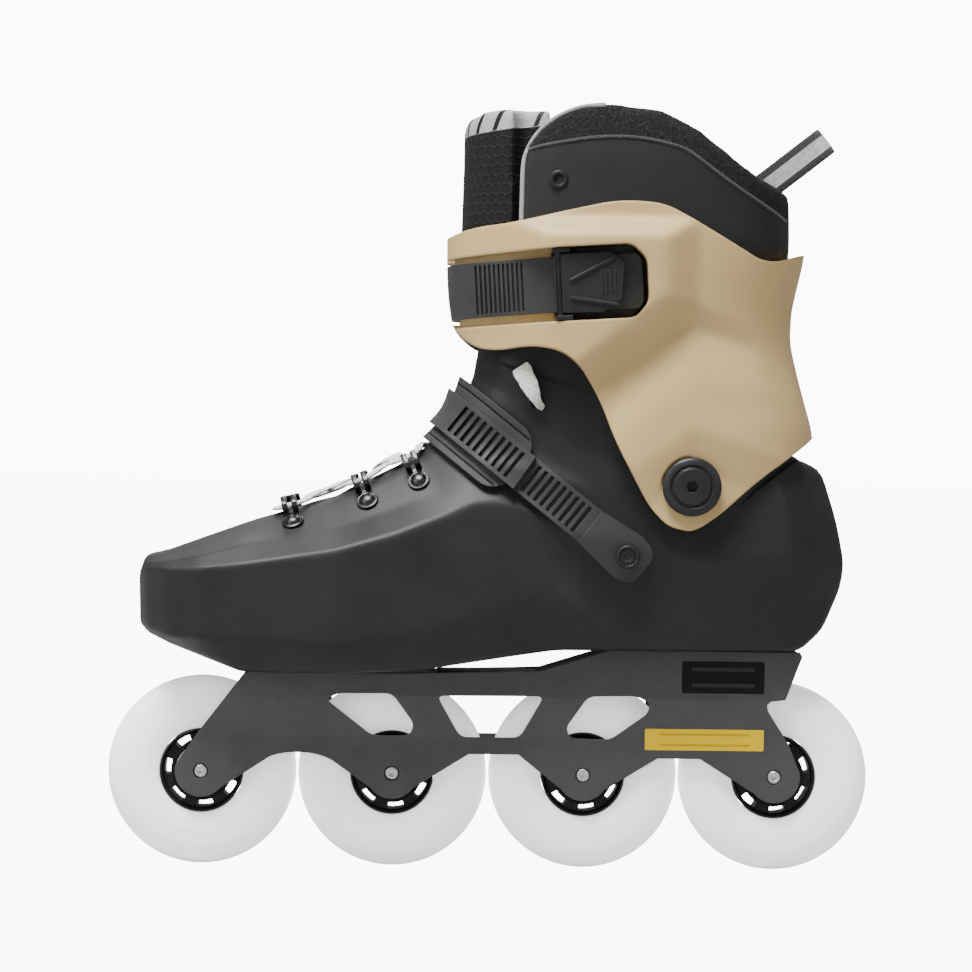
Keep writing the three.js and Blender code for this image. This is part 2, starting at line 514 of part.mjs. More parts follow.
// ratchet buckle: base under the strap with two ears, a lever and a pin; drawn in its own frame
const EAR_Z = 13.1;
const PIN_X = -13;
function cuffBuckleBase() {
  const plate = common(cut(cuffForm(-3.1), cuffForm(-4.9)),
    sidePrism(slanted([[-15, -15], [17.5, -15], [21, -10], [21, 10], [17.5, 15], [-15, 15]]), -WIDE, 0));
  const ear = (z0, z1) => {
    const pts = slanted([[-15, z0], [-8, z0], [-8, z1], [-15, z1]]);
    return cut(sidePrism(pts, -57.6, -44), cuffForm(-4.9));
  };
  const [x, z] = slanted([[PIN_X, 0]])[0];
  const pinWay = rod(1.5, -30, 30, 10, [x, -55.3, z], new THREE.Vector3(-Math.sin(CUFF_STRAP_TILT), 0,
    Math.cos(CUFF_STRAP_TILT)));
  return cut(join(plate, ear(EAR_Z, 15), ear(-15, -EAR_Z)), pinWay);
}
function cuffLever() {
  const outline = slanted([[-14.8, -12], [5, -12.4], [12.6, -7.6], [14.6, 8], [9, 12.4], [-14.8, 12.4]]);
  const body = sidePrism(outline, -57.4, -52.9);
  const [x, z] = slanted([[PIN_X, 0]])[0];
  return cut(body, rod(1.5, -30, 30, 10, [x, -55.3, z], new THREE.Vector3(-Math.sin(CUFF_STRAP_TILT), 0,
    Math.cos(CUFF_STRAP_TILT))));
}
function cuffPin() {
  const [x, z] = slanted([[PIN_X, 0]])[0];
  return rod(1.2, -15.2, 15.2, 10, [x, -55.3, z], new THREE.Vector3(-Math.sin(CUFF_STRAP_TILT), 0,
    Math.cos(CUFF_STRAP_TILT)));
}

// ---------- instep strap ----------
// slanted band across the instep: d runs up and forward from the screw, w across the band
const D = [-0.783, 0.622];
const W = [0.622, 0.783];
const instep = (d, w) => [INSTEP_SCREW[0] + D[0] * d + W[0] * w, INSTEP_SCREW[1] + D[1] * d + W[1] * w];
const band = (outline, y0, y1) => sidePrism(outline.map(([d, w]) => instep(d, w)), y0, y1);

function instepPad() {
  const h = INSTEP_PAD_W / 2;
  const skin = cut(bootForm(3.2), bootForm(0.4));
  const outer = band([[58, -h + 6], [64, -h], [112, -h], [112, h], [64, h], [58, h - 6]], -WIDE, 0.01);
  const inner = band([[33.5, -h], [112, -h], [112, h], [33.5, h]], 0, WIDE);
  return common(skin, join(outer, inner));
}
function instepStrap() {
  const h = INSTEP_STRAP_W / 2;
  const skin = cut(bootForm(6.2), bootForm(3.5));
  const whole = cut(bootForm(6.2), bootForm(0.4));
  const low = cut(bootForm(3.2), bootForm(0.4));
  const tab = join(
    common(whole, band([[-9, -6], [-6, -9], [0, -10.5], [20, -h], [20, h], [0, 10.5], [-6, 9], [-9, 6]], -WIDE, 0)),
    common(low, band([[19, -h], [57.6, -h], [57.6, h], [19, h]], -WIDE, 0)),
    common(whole, band([[53.6, -h], [57.6, -h], [57.6, h], [53.6, h]], -WIDE, 0)),
    common(skin, band([[57, -h], [112, -h], [112, h], [57, h]], -WIDE, 0.01)),
    common(skin, band([[26, -h], [112, -h], [112, h], [26, h], [22, h - 4], [22, -h + 4]], 0, WIDE)));
  return cut(tab, rod(3.1, -80, 0, 12, [INSTEP_SCREW[0], 0, INSTEP_SCREW[1]]));
}
function instepScrew(s, out) {
  const at = [INSTEP_SCREW[0], 0, INSTEP_SCREW[1]];
  const axis = s < 0 ? Y.clone().negate() : Y;
  const body = turned([[0, 41], [2.5, 41], [2.5, out], [6, out], [5.4, out + 1.6], [0, out + 2]], 16, at, axis);
  return cut(body, rod(1.9, out + 0.6, 80, 6, at, axis));
}
function instepBuckleBase() {
  const skin = common(cut(bootForm(3.2), bootForm(0.4)),
    band([[-9, -6], [-6, -9], [0, -10.5], [14, -12.5], [33, -12.5], [33, 12.5], [14, 12.5], [0, 10.5], [-6, 9],
      [-9, 6]], 0, WIDE));
  const ear = (w0, w1) => band([[9, w0], [17, w0], [17, w1], [9, w1]], 0, 56.4);
  const up = cut(join(ear(9.2, 12), ear(-12, -9.2)), bootForm(1));
  return cut(join(skin, up), rod(2.9, 0, 80, 12, [INSTEP_SCREW[0], 0, INSTEP_SCREW[1]]), pinAlong(1.5));
}
const pinAlong = (r, half = 30) => {
  const [x, z] = instep(13, 0);
  return rod(r, -half, half, 10, [x, 54, z], new THREE.Vector3(W[0], 0, W[1]));
};
function instepLever() {
  const body = band([[10.5, -8.8], [10.5, 8.8], [33, 7], [37, 3], [37, -3], [33, -7]], 51.8, 56.2);
  return cut(body, pinAlong(1.5));
}

// ---------- lacing ----------
const HOOK_ROWS = [4.55, 5.62, 6.75];
const HOOK_Y = 31;
const PRONG_W = 2.4;
const NECK = 5.6;              // prongs from the middle of the hook along the flap, toward the throat
// disc and rivet on the flap, two prongs rising on the throat side and bending over the lace
function hook(k, s) {
  const { p, out } = onBoot(k, s * HOOK_Y, FIT);
  const away = new THREE.Vector3(0, s, 0).addScaledVector(out, -s * out.y).normalize();
  const along = away.clone().cross(out).normalize();
  const disc = turned([[0, 0], [4.6, 0], [4.6, 0.9], [3.2, 0.9], [2.4, 1.8], [0, 2]], 12, p.toArray(), out);
  const plate = extruded([[-2, 0.2], [-2, 0.9], [-6.1, 0.9], [-6.1, 0.2]], 6.4, away, out, along,
    p.clone().addScaledVector(along, -3.2));
  const prong = (from) => extruded([[-5.1, 0.3], [-5.1, 5.2], [-11.6, 6.2], [-11.8, 5.2], [-6.1, 4.1], [-6.1, 0.3]],
    PRONG_W, away, out, along, p.clone().addScaledVector(along, from));
  return join(disc, plate, prong(-0.8 - PRONG_W), prong(0.8));
}

// flat cord through [point, way out] nodes
function ribbon(nodes) {
  const curve = new THREE.CatmullRomCurve3(nodes.map((q) => q.p), false, 'centripetal');
  const outs = new THREE.CatmullRomCurve3(nodes.map((q) => q.out), false, 'centripetal');
  const steps = nodes.length * 2;
  const rings = Array.from({ length: steps + 1 }, (_, i) => {
    const t = i / steps;
    const p = curve.getPoint(t);
    const along = curve.getTangent(t);
    const side = along.clone().cross(outs.getPoint(t)).normalize();
    const up = side.clone().cross(along).normalize();
    return [[-1, -1], [1, -1], [1, 1], [-1, 1]].map(([a, b]) =>
      p.clone().addScaledVector(side, (a * LACE_W) / 2).addScaledVector(up, (b * LACE_T) / 2).toArray());
  });
  return loft(rings);
}
function lace() {
  const nodes = [];
  const put = (k, y, h) => nodes.push(onBoot(k, y, h));
  // round a hook's neck on its outer side, LACE_TURN to each side of it
  const round = (k, s, way) => {
    const a = bootRow(k - 0.5);
    const b = bootRow(k + 0.5);
    const turn = (way * LACE_TURN) / Math.hypot(b[2] - a[2], b[3] - a[3]);
    const y = HOOK_Y - NECK * 0.8;
    put(k + turn, s * (y - 5), 2.9);
    put(k + turn, s * (y + 1.5), 3.3);
    put(k, s * (y + LACE_REACH), 3.6);
    put(k - turn, s * (y + 1.5), 3.3);
    put(k - turn, s * (y - 5), 2.9);
  };
  // over the throat from side s to the other, the middle raised to h
  const across = (k0, k1, s, h) => [[14, 1.7], [0, 0], [-14, 1.7]].forEach(([y, up]) =>
    put(k0 + ((k1 - k0) * (22 - y)) / 44, s * y, Math.max(up, h)));
  const [a, b, c] = HOOK_ROWS;
  const under = [[11.2, 10, -3], [10.2, 10, -3], [9.2, 10, -3], [8.3, 10, -2.8], [7.7, 10, -1.7],
    [7.25, 13, 1.6]];
  under.forEach(([k, y, h]) => put(k, y, h));
  round(c, 1, 1);
  across(c - 0.2, b + 0.2, 1, 1.5);
  round(b, -1, 1);
  across(b - 0.2, a + 0.1, -1, 1.5);
  round(a, 1, 1);
  across(a - 0.12, a - 0.12, 1, 1.5);
  round(a, -1, -1);
  across(a + 0.1, b - 0.2, -1, 3.3);
  round(b, 1, -1);
  across(b + 0.2, c - 0.2, 1, 3.3);
  round(c, -1, -1);
  under.reverse().forEach(([k, y, h]) => put(k, -y, h));
  return ribbon(nodes);
}

// ---------- soft pieces on the cuff ----------
const collarOutline = [
  [-40, 242], [9.4, 238], [60, 224], [118, 200], [150, 196], [150, 263], [127, 266], [126.5, 286.5],
  [110.5, 294], [102.9, 299.4], [86, 312.2], [69, 320.8], [48, 323.1], [35.5, 322.1], [23, 316.9], [14.7, 307.6],
  [10.6, 297], [9.4, 266], [9.4, 243], [-40, 246],
];
function linerCollar() {
  const side = sidePrism(collarOutline.slice(1, -1), -WIDE, WIDE);
  const [x, , z] = EYELET;
  return cut(common(cut(collarForm(0), collarForm(-LINER_T)), side), cuffKeep(), pullTab(FIT), rod(1.9, -60, 60, 8, [x, 0, z]));
}
function tongueUpper() {
  const outer = common(cut(collarForm(0), collarForm(-LINER_T - 3)),
    sidePrism([[-40, 238], [9, 236], [9, 321.5], [-1.9, 321], [-9.5, 318.3], [-40, 306]], -WIDE, WIDE));
  const inner = common(cut(collarForm(-LINER_T - FIT), collarForm(-LINER_T - 6)),
    sidePrism([[-40, 250], [24, 246], [24, 321.5], [-1.9, 321], [-9.5, 318.3], [-40, 306]], -WIDE, WIDE));
  return cut(join(outer, inner), cuffKeep());
}
const EYELET = [26.6, 46.3, 290.5];
function eyelet(s) {
  const [x, y, z] = EYELET;
  const [a, b] = [s * (y + 0.2), s * (y + 1.4)].sort((p, q) => p - q);
  return ringRod(2, 4, a, b, 14, [x, 0, z]);
}
// webbing loop standing back from the collar's rear top
const TAB = { at: [113, 288.6], dir: [0.787, 0.617], long: 37, wide: 12.4, half: 8, thick: 1.8 };
function pullTab(grow) {
  const { at, dir, long, wide, half, thick } = TAB;
  const [d, u] = [new THREE.Vector3(dir[0], 0, dir[1]), new THREE.Vector3(-dir[1], 0, dir[0])];
  const bend = arc(long - half, 0, half, 90, -90, 8);
  const hollow = arc(long - half, 0, half - thick - grow, -90, 90, 8);
  const edge = half - thick - grow;
  const outline = [[-5, half + grow], ...bend.map(([p, q]) => [p, q * (1 + grow / half)]), [-5, -half - grow],
    [-5, -edge], ...hollow, [-5, edge]];
  const origin = new THREE.Vector3(at[0], 0, at[1]).addScaledVector(u, -wide / 2 - grow);
  return extruded(outline, wide + 2 * grow, d, Y.clone().negate(), u, origin);
}

// ---------- assembly ----------
const root = new THREE.Group();
root.name = 'inline_skate_left';
add('frame', frame(), 'frame');
wheelXs.forEach((x, i) => {
  const n = i + 1;
  add(`tyre_${n}`, tyre(x), 'tyre');
  add(`hub_${n}`, hub(x), 'hub');
  add(`bearing_${n}_outer`, bearing(x, -1), 'race');
  add(`bearing_${n}_inner`, bearing(x, 1), 'race');
  add(`spacer_${n}`, ringRod(AXLE_R + FIT, 5.6, -4.7, 4.7, 14, [x, 0, axleZ]), 'steel');
  add(`axle_${n}`, axle(x), 'steel');
});
add('mount_bolt_front', mountBolt(-BOLT_X, FRONT_PLATE_Z), 'steel');
add('mount_bolt_rear', mountBolt(BOLT_X, REAR_PLATE_Z), 'steel');
add('shell', shell(), 'shell');
add('liner_foot', linerFoot(), 'liner');
add('tongue_lower', tongueLower(), 'mesh');
add('insole', insole(), 'felt');
add('cuff', cuff(), 'cuff');
add('cuff_pivot_outer', pivotBolt(-1), 'black');
add('cuff_pivot_inner', pivotBolt(1), 'black');
add('cuff_strap', cuffStrap(), 'black');
add('cuff_strap_rivet', strapRivet(), 'black');
add('cuff_buckle_base', cuffBuckleBase(), 'black');
add('cuff_buckle_lever', cuffLever(), 'black');
add('cuff_buckle_pin', cuffPin(), 'steel');
add('instep_pad', instepPad(), 'rubber');
add('instep_strap', instepStrap(), 'black');
add('instep_screw_outer', instepScrew(-1, 51.8), 'metal');
add('instep_buckle_base', instepBuckleBase(), 'black');
add('instep_buckle_lever', instepLever(), 'black');
add('instep_buckle_pin', pinAlong(1.2, 11.8), 'steel');
add('instep_screw_inner', instepScrew(1, 51), 'metal');
add('lace', lace(), 'lace');
add('liner_collar', linerCollar(), 'liner');
add('tongue_upper', tongueUpper(), 'mesh');
add('eyelet_outer', eyelet(-1), 'black');
add('eyelet_inner', eyelet(1), 'black');
add('pull_tab', pullTab(0), 'felt');
HOOK_ROWS.forEach((k, i) => {
  add(`hook_${i + 1}_outer`, hook(k, -1), 'metal');
  add(`hook_${i + 1}_inner`, hook(k, 1), 'metal');
});
parts.forEach((mesh) => root.add(mesh));
export default root;
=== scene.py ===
import math
import bpy
import bmesh
import numpy as np
from mathutils import Matrix, Vector


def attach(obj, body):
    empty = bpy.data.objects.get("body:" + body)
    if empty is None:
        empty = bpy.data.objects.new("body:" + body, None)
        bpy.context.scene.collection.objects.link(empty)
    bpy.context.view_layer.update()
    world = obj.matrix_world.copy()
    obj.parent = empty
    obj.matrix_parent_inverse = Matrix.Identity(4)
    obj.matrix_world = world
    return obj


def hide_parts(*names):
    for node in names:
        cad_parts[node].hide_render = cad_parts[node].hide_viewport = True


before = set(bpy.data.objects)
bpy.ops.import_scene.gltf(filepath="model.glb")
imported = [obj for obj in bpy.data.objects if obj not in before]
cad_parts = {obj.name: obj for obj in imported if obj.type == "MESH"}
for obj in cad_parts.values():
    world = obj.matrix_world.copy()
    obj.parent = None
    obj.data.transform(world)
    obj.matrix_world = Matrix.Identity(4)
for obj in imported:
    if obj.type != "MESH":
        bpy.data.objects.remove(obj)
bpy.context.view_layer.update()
scene = bpy.context.scene
mm = 0.001

# camera, floor and light
view = {"foot": (-21.6, -1900, 175), "roll": 0.0115, "focal": 164.7, "shift": (0.0473, -0.0319)}
eye = bpy.data.cameras.new("eye")
eye.lens, eye.sensor_width = view["focal"], 36
eye.shift_x, eye.shift_y = view["shift"]
eye.clip_end = 50
camera = bpy.data.objects.new("eye", eye)
scene.collection.objects.link(camera)
right = Vector((math.cos(view["roll"]), 0, math.sin(view["roll"])))
up = Vector((-math.sin(view["roll"]), 0, math.cos(view["roll"])))
turn = Matrix((right, up, Vector((0, -1, 0)))).transposed().to_4x4()
camera.matrix_world = Matrix.Translation(Vector(view["foot"]) * mm) @ turn
scene.camera = camera

studio = {"sky": 0.36, "paper": 11.0, "floor": (0.36, 0.36, 0.35), "lamps": [
    # place, aim, width, height, watts
    ((-0.45, -0.75, 2.1), (0, 0, 0.15), 1.2, 0.8, 150),
    ((1.9, -1.3, 1.0), (0, 0, 0.15), 0.8, 1.2, 7),
    ((-1.7, -1.3, 1.0), (0, 0, 0.12), 0.9, 1.2, 20),
    ((0.2, 1.5, 1.9), (0, 0, 0.2), 1.6, 0.9, 34)]}
for number, (place, aim, wide, high, watts) in enumerate(studio["lamps"]):
    lamp = bpy.data.lights.new(f"softbox{number}", "AREA")
    lamp.shape, lamp.size, lamp.size_y, lamp.energy = "RECTANGLE", wide, high, watts
    box = bpy.data.objects.new(f"softbox{number}", lamp)
    scene.collection.objects.link(box)
    box.location = place
    box.rotation_euler = (Vector(aim) - Vector(place)).to_track_quat("-Z", "Y").to_euler()
print("camera and lights placed")


# shader wires
def tint(red, green, blue):
    # a screen colour of 0 to 255 made linear
    shares = [c / 255 for c in (red, green, blue)]
    return (*[c / 12.92 if c <= 10 / 255 else ((c + 0.055) / 1.055) ** 2.4 for c in shares], 1)


class Wire:
    # a node's output that works in sums like a number
    def __init__(self, tree, socket=None):
        self.tree, self.socket = tree, socket

    def node(self, kind, settings=None, inputs=None, out=0):
        made = self.tree.nodes.new(kind)
        for key, value in (settings or {}).items():
            if key == "stops":
                ramp = made.color_ramp
                while len(ramp.elements) < len(value):
                    ramp.elements.new(0.5)
                for stop, (at, colour) in zip(ramp.elements, value):
                    stop.position, stop.color = at, colour
            elif key == "points":
                line = made.mapping.curves[0]
                for at, height in value[1:-1]:
                    line.points.new(at, height)
                for index in (0, -1):
                    line.points[index].location = value[index]
                for point in line.points:
                    point.handle_type = "VECTOR"
                made.mapping.update()
            else:
                setattr(made, key, value)
        for key, value in (inputs or {}).items():
            if isinstance(value, Wire):
                self.tree.links.new(value.socket, made.inputs[key])
            else:
                made.inputs[key].default_value = value
        return Wire(self.tree, made.outputs[out])

    def sum(self, how, one, two=0.0):
        return self.node("ShaderNodeMath", {"operation": how}, {0: one, 1: two})

    def __add__(self, other): return self.sum("ADD", self, other)
    def __radd__(self, other): return self.sum("ADD", other, self)
    def __sub__(self, other): return self.sum("SUBTRACT", self, other)
    def __rsub__(self, other): return self.sum("SUBTRACT", other, self)
    def __mul__(self, other): return self.sum("MULTIPLY", self, other)
    def __rmul__(self, other): return self.sum("MULTIPLY", other, self)
    def __truediv__(self, other): return self.sum("DIVIDE", self, other)
    def __rtruediv__(self, other): return self.sum("DIVIDE", other, self)
    def __mod__(self, other): return self.sum("FLOORED_MODULO", self, other)
    def __gt__(self, other): return self.sum("GREATER_THAN", self, other)
    def __lt__(self, other): return self.sum("LESS_THAN", self, other)
    def __abs__(self): return self.sum("ABSOLUTE", self)
    def top(self, other): return self.sum("MAXIMUM", self, other)

    def between(self, low, high):
        # 0 below low, 1 above high, smooth in between
        return self.node("ShaderNodeMapRange", {"interpolation_type": "SMOOTHSTEP"},
                         {0: self, 1: low, 2: high})

    def mixed(self, one, two):
        # colour one where this wire is 0, colour two where it is 1
        return self.node("ShaderNodeMix", {"data_type": "RGBA"}, {0: self, 6: one, 7: two}, 2)


def finish(name, colour, rough, sockets=None):
    # a new material: its wire, its shader and the piece's own coordinates
    made = bpy.data.materials.new(name)
    made.use_nodes = True
    shader = made.node_tree.nodes["Principled BSDF"]
    shader.inputs["Base Color"].default_value = colour
    shader.inputs["Roughness"].default_value = rough
    for key, value in (sockets or {}).items():
        shader.inputs[key].default_value = value
    wire = Wire(made.node_tree)
    place = wire.node("ShaderNodeTexCoord", out=3)
    return made, wire, shader, place


def noise(wire, place, scale, detail=3, rough=0.55, stretch=None):
    if stretch:
        place = wire.node("ShaderNodeMapping", {"vector_type": "POINT"}, {0: place, 3: stretch})
    inputs = {"Vector": place, "Scale": scale, "Detail": detail, "Roughness": rough}
    return wire.node("ShaderNodeTexNoise", None, inputs)


def plug(wire, value, shader, name):
    wire.tree.links.new(value.socket, shader.inputs[name])


def relief(wire, shader, height, depth, corner=0.0, strength=1.0):
    # height of 0 to 1 raised by depth in metres, over corners rounded by corner in metres
    inputs = {"Height": height, "Distance": depth, "Strength": strength}
    if corner:
        inputs["Normal"] = wire.node("ShaderNodeBevel", {"samples": 6}, {"Radius": corner})
    plug(wire, wire.node("ShaderNodeBump", None, inputs), shader, "Normal")


def plastic(name, colour, light, rough, grain=2600, depth=0.00003, corner=0.0006, sockets=None, scuff=0.25):
    # moulded plastic: a fine spark-eroded grain, faint cloudiness and lighter scuffs
    made, wire, shader, place = finish(name, colour, rough, sockets)
    cloud = noise(wire, place, 22, 4)
    marks = noise(wire, place, 90, 6, 0.7, (1, 1, 3.5)).between(0.6, 0.78)
    fine = noise(wire, place, grain, 2)
    plug(wire, (cloud.between(0.3, 0.7) * 0.5 + marks * scuff).mixed(colour, light), shader, "Base Color")
    plug(wire, fine * 0.12 + cloud * 0.1 + (rough - 0.11) + marks * 0.06, shader, "Roughness")
    relief(wire, shader, fine, depth, corner)
    return made


def metal(name, colour, rough, stretch=(1, 1, 1), scale=900, corner=0.0003, metallic=1.0):
    # metal with fine drawn or brushed lines
    made, wire, shader, place = finish(name, colour, rough, {"Metallic": metallic})
    lines = noise(wire, place, scale, 4, 0.6, stretch)
    wear = noise(wire, place, 60, 5, 0.7)
    dark = tuple(c * 0.88 for c in colour[:3]) + (1,)
    plug(wire, wear.between(0.35, 0.7).mixed(colour, dark), shader, "Base Color")
    plug(wire, lines * 0.2 + wear * 0.12 + (rough - 0.14), shader, "Roughness")
    relief(wire, shader, lines, 0.00001, corner)
    return made


dull = {"Specular IOR Level": 0.22}
shellBlack = plastic("shellBlack", tint(25, 25, 26), tint(36, 36, 37), 0.48, 1500, 0.00005, 0.0007, dull)
cuffSand = plastic("cuffSand", tint(172, 147, 101), tint(181, 157, 113), 0.42, 1800, 0.00002, 0.0016, dull, 0.12)
glossBlack = plastic("glossBlack", tint(27, 27, 29), tint(40, 40, 42), 0.34, 2600, 0.00002, 0.0005, dull)
strapBlack = plastic("strapBlack", tint(40, 40, 42), tint(54, 55, 56), 0.44, 2200, 0.00002, 0.0004, dull)
padBlack = plastic("padBlack", tint(38, 38, 39), tint(50, 50, 51), 0.58, 1200, 0.00005, 0.0009, dull)
hubBlack = plastic("hubBlack", tint(14, 14, 15), tint(24, 24, 25), 0.4, 2600, 0.00002, 0.0004, dull)
frameGrey = metal("frameGrey", tint(64, 65, 67), 0.46, (1, 1, 14), 300, 0.0006, 0.4)
brightSteel = metal("brightSteel", tint(196, 197, 200), 0.3)
darkSteel = metal("darkSteel", tint(62, 63, 65), 0.3, corner=0.0004)
shieldSteel = metal("shieldSteel", tint(150, 152, 156), 0.34, metallic=0.85)


def urethane():
    # cast white tyre: milky, slightly warm at the tread, with a dusty haze, and a painted glow from its own emission
    # that brightens it though it is no lamp
    made, wire, shader, place = finish("urethane", tint(238, 238, 232), 0.42, {
        "Subsurface Weight": 0.35, "Subsurface Scale": 0.006, "Coat Weight": 0.1, "Coat Roughness": 0.3,
        # emission colour and strength: a painted glow that lightens the whole tyre
        "Emission Color": tint(238, 238, 232), "Emission Strength": 0.8})
    haze = noise(wire, place, 45, 5, 0.6)
    dust = noise(wire, place, 300, 6, 0.75).between(0.62, 0.8)
    plug(wire, (haze.between(0.35, 0.75) * 0.6 + dust * 0.2).mixed(tint(247, 247, 243), tint(238, 238, 231)),
         shader, "Base Color")
    plug(wire, haze * 0.2 + 0.33 + dust * 0.1, shader, "Roughness")
    relief(wire, shader, noise(wire, place, 700, 3), 0.00001)
    return made


tyreWhite = urethane()


def woven(wire, across, along, pitch):
    # plain weave: raised threads one way on even squares and the other way on odd squares
    one = wire.sum("SINE", across * (math.pi / pitch))
    two = wire.sum("SINE", along * (math.pi / pitch))
    swap = wire.sum("SINE", across * (math.pi / pitch / 2)) * wire.sum("SINE", along * (math.pi / pitch / 2)) > 0
    return abs(one) * swap + abs(two) * (1 - swap)


def parted(wire, vector):
    made = wire.tree.nodes.new("ShaderNodeSeparateXYZ")
    wire.tree.links.new(vector.socket, made.inputs[0])
    return [Wire(wire.tree, socket) for socket in made.outputs]


def lining():
    # collar: heathered knit above the seam, smooth coated panel below it
    seam = [(9, 302), (27, 306), (44, 308.3), (60, 308.1), (77, 304.5), (94, 293.4), (107, 285.2), (124, 274.9),
            (130, 270)]
    made, wire, shader, place = finish("lining", tint(40, 41, 43), 0.8, {"Specular IOR Level": 0.2})
    x, y, z = parted(wire, place)
    points = [((px + 20) / 160, (pz - 240) / 100) for px, pz in seam]
    height = wire.node("ShaderNodeFloatCurve", {"points": [(0, points[0][1]), *points, (1, points[-1][1])]},
                       {"Value": (x * 1000 + 20) / 160}) * 100 + 240
    upper = (z * 1000 - height).between(-0.3, 0.3)
    # 1 on the outer face, by how far a point stands from the collar's middle
    reach = wire.sum("POWER", abs((x - 0.0563) / 0.0705), 2.6) + wire.sum("POWER", abs(y) / 0.047, 2.6)
    outward = reach.between(0.66, 0.76)
    knit = noise(wire, place, 1500, 2, 0.6, (1, 1, 0.7))
    heather = noise(wire, place, 1300, 3, 0.7).between(0.46, 0.68)
    fabric = (heather * 0.85 + knit * 0.2).mixed(tint(8, 8, 9), tint(46, 45, 44))
    coat = noise(wire, place, 60, 3).mixed(tint(22, 22, 23), tint(30, 31, 32))
    mask = (1 - upper) * outward
    plug(wire, mask.mixed(fabric, coat), shader, "Base Color")
    plug(wire, 0.92 - mask * 0.38 + knit * 0.06, shader, "Roughness")
    relief(wire, shader, knit * (1 - mask * 0.85), 0.0004)
    return made


def honeycomb():
    # tongue: raised hexagonal cells about 6 mm across on a dark mesh, pale strip with dark slashes on top
    made, wire, shader, place = finish("honeycomb", tint(24, 24, 25), 0.75, {"Specular IOR Level": 0.2})
    x, y, z = parted(wire, place)
    around = wire.sum("ARCTAN2", y, 0.052 - x) * 0.062
    u, v = around / 0.0046, z / 0.0046
    r = 3 ** 0.5
    ax, ay = u % 1.0 - 0.5, v % r - r / 2
    bx, by = (u - 0.5) % 1.0 - 0.5, (v - r / 2) % r - r / 2
    near = (ax * ax + ay * ay) < (bx * bx + by * by)
    gx, gy = abs(ax * near + bx * (1 - near)), abs(ay * near + by * (1 - near))
    cell = 0.5 - gx.top(gx * 0.5 + gy * (r / 2))
    ridge = 1 - cell.between(0.03, 0.11)
    strip = (z * 1000 - (311.5 + (x * 1000) * 0.12)).between(-0.4, 0.4)
    slash = ((around + z * 0.35) * 1000 % 10.5) / 10.5
    dark = (slash < 0.24) * strip
    fine = noise(wire, place, 1500, 2)
    mesh = (ridge * 0.4 + fine * 0.3).mixed(tint(9, 9, 10), tint(34, 34, 35))
    pale = dark.mixed(tint(146, 147, 148), tint(20, 20, 22))
    plug(wire, strip.mixed(mesh, pale), shader, "Base Color")
    plug(wire, 0.85 - strip * 0.35 + fine * 0.05, shader, "Roughness")
    relief(wire, shader, (ridge * 0.7 + fine * 0.3) * (1 - strip * 0.85), 0.0006)
    return made


def cloth(name, one, two, rough, pitch, depth=0.0003):
    # a woven cloth laid by the piece's own lengths, in metres
    made, wire, shader, place = finish(name, one, rough, {"Sheen Weight": 0.2, "Sheen Roughness": 0.5})
    along, across, _ = parted(wire, wire.node("ShaderNodeUVMap", {"uv_map": "lengths"}))
    weave = woven(wire, across, along, pitch)
    soil = noise(wire, place, 120, 5, 0.6)
    plug(wire, (weave * 0.55 + soil * 0.4).mixed(two, one), shader, "Base Color")
    plug(wire, rough - 0.05 + soil * 0.1, shader, "Roughness")
    relief(wire, shader, weave, depth)
    return made


def webbing():
    # pull tab: ribbed black webbing with a pale reflective stripe along its middle
    made, wire, shader, place = finish("webbing", tint(30, 30, 32), 0.7, {"Sheen Weight": 0.1})
    along, across, _ = parted(wire, wire.node("ShaderNodeUVMap", {"uv_map": "lengths"}))
    stripe = 1 - abs(across * 1000).between(2.9, 3.2)
    ribs = abs(wire.sum("SINE", across * (math.pi / 0.0009))) * 0.6 + woven(wire, across, along, 0.0006) * 0.4
    shine = noise(wire, place, 500, 4, 0.7)
    pale = shine.between(0.3, 0.7).mixed(tint(168, 169, 170), tint(134, 135, 137))
    black = ribs.mixed(tint(11, 11, 12), tint(30, 30, 32))
    plug(wire, stripe.mixed(black, pale), shader, "Base Color")
    plug(wire, 0.8 - stripe * 0.42, shader, "Roughness")
    relief(wire, shader, ribs * (1 - stripe * 0.8), 0.0003)
    return made


def felt():
    made, wire, shader, place = finish("felt", tint(52, 53, 56), 0.95, {"Sheen Weight": 0.3, "Sheen Roughness": 0.6})
    fibre = noise(wire, place, 900, 5, 0.75)
    plug(wire, fibre.mixed(tint(40, 41, 43), tint(74, 75, 78)), shader, "Base Color")
    plug(wire, fibre * 0.1 + 0.86, shader, "Roughness")
    relief(wire, shader, fibre, 0.0004)
    return made


def sticker(name, ground, mark, rows):
    # blank label with plain bars in place of any words
    made, wire, shader, place = finish(name, ground, 0.45, {"Specular IOR Level": 0.15})
    along, across, _ = parted(wire, wire.node("ShaderNodeUVMap", {"uv_map": "lengths"}))
    bars = noise(wire, place, 30, 1)
    line = (abs((across * rows) % 1.0 - 0.5) < 0.12) * (abs(along - 0.5) < 0.38)
    plug(wire, (line * 0.5).mixed(ground, mark), shader, "Base Color")
    plug(wire, bars * 0.1 + 0.4, shader, "Roughness")
    relief(wire, shader, bars, 0.00001, 0.0002)
    return made


linerCloth = lining()
tongueMesh = honeycomb()
laceWhite = cloth("laceWhite", tint(240, 240, 236), tint(205, 205, 198), 0.85, 0.0009, 0.0004)
pipingGrey = cloth("pipingGrey", tint(136, 138, 139), tint(104, 106, 108), 0.6, 0.0006, 0.0001)
seamBlack = cloth("seamBlack", tint(16, 16, 17), tint(26, 26, 28), 0.7, 0.0006, 0.0002)
tabWeb = webbing()
insoleFelt = felt()
yellowLabel = sticker("yellowLabel", tint(212, 176, 0), tint(126, 104, 4), 2)
darkLabel = sticker("darkLabel", tint(12, 12, 13), tint(60, 60, 60), 2)

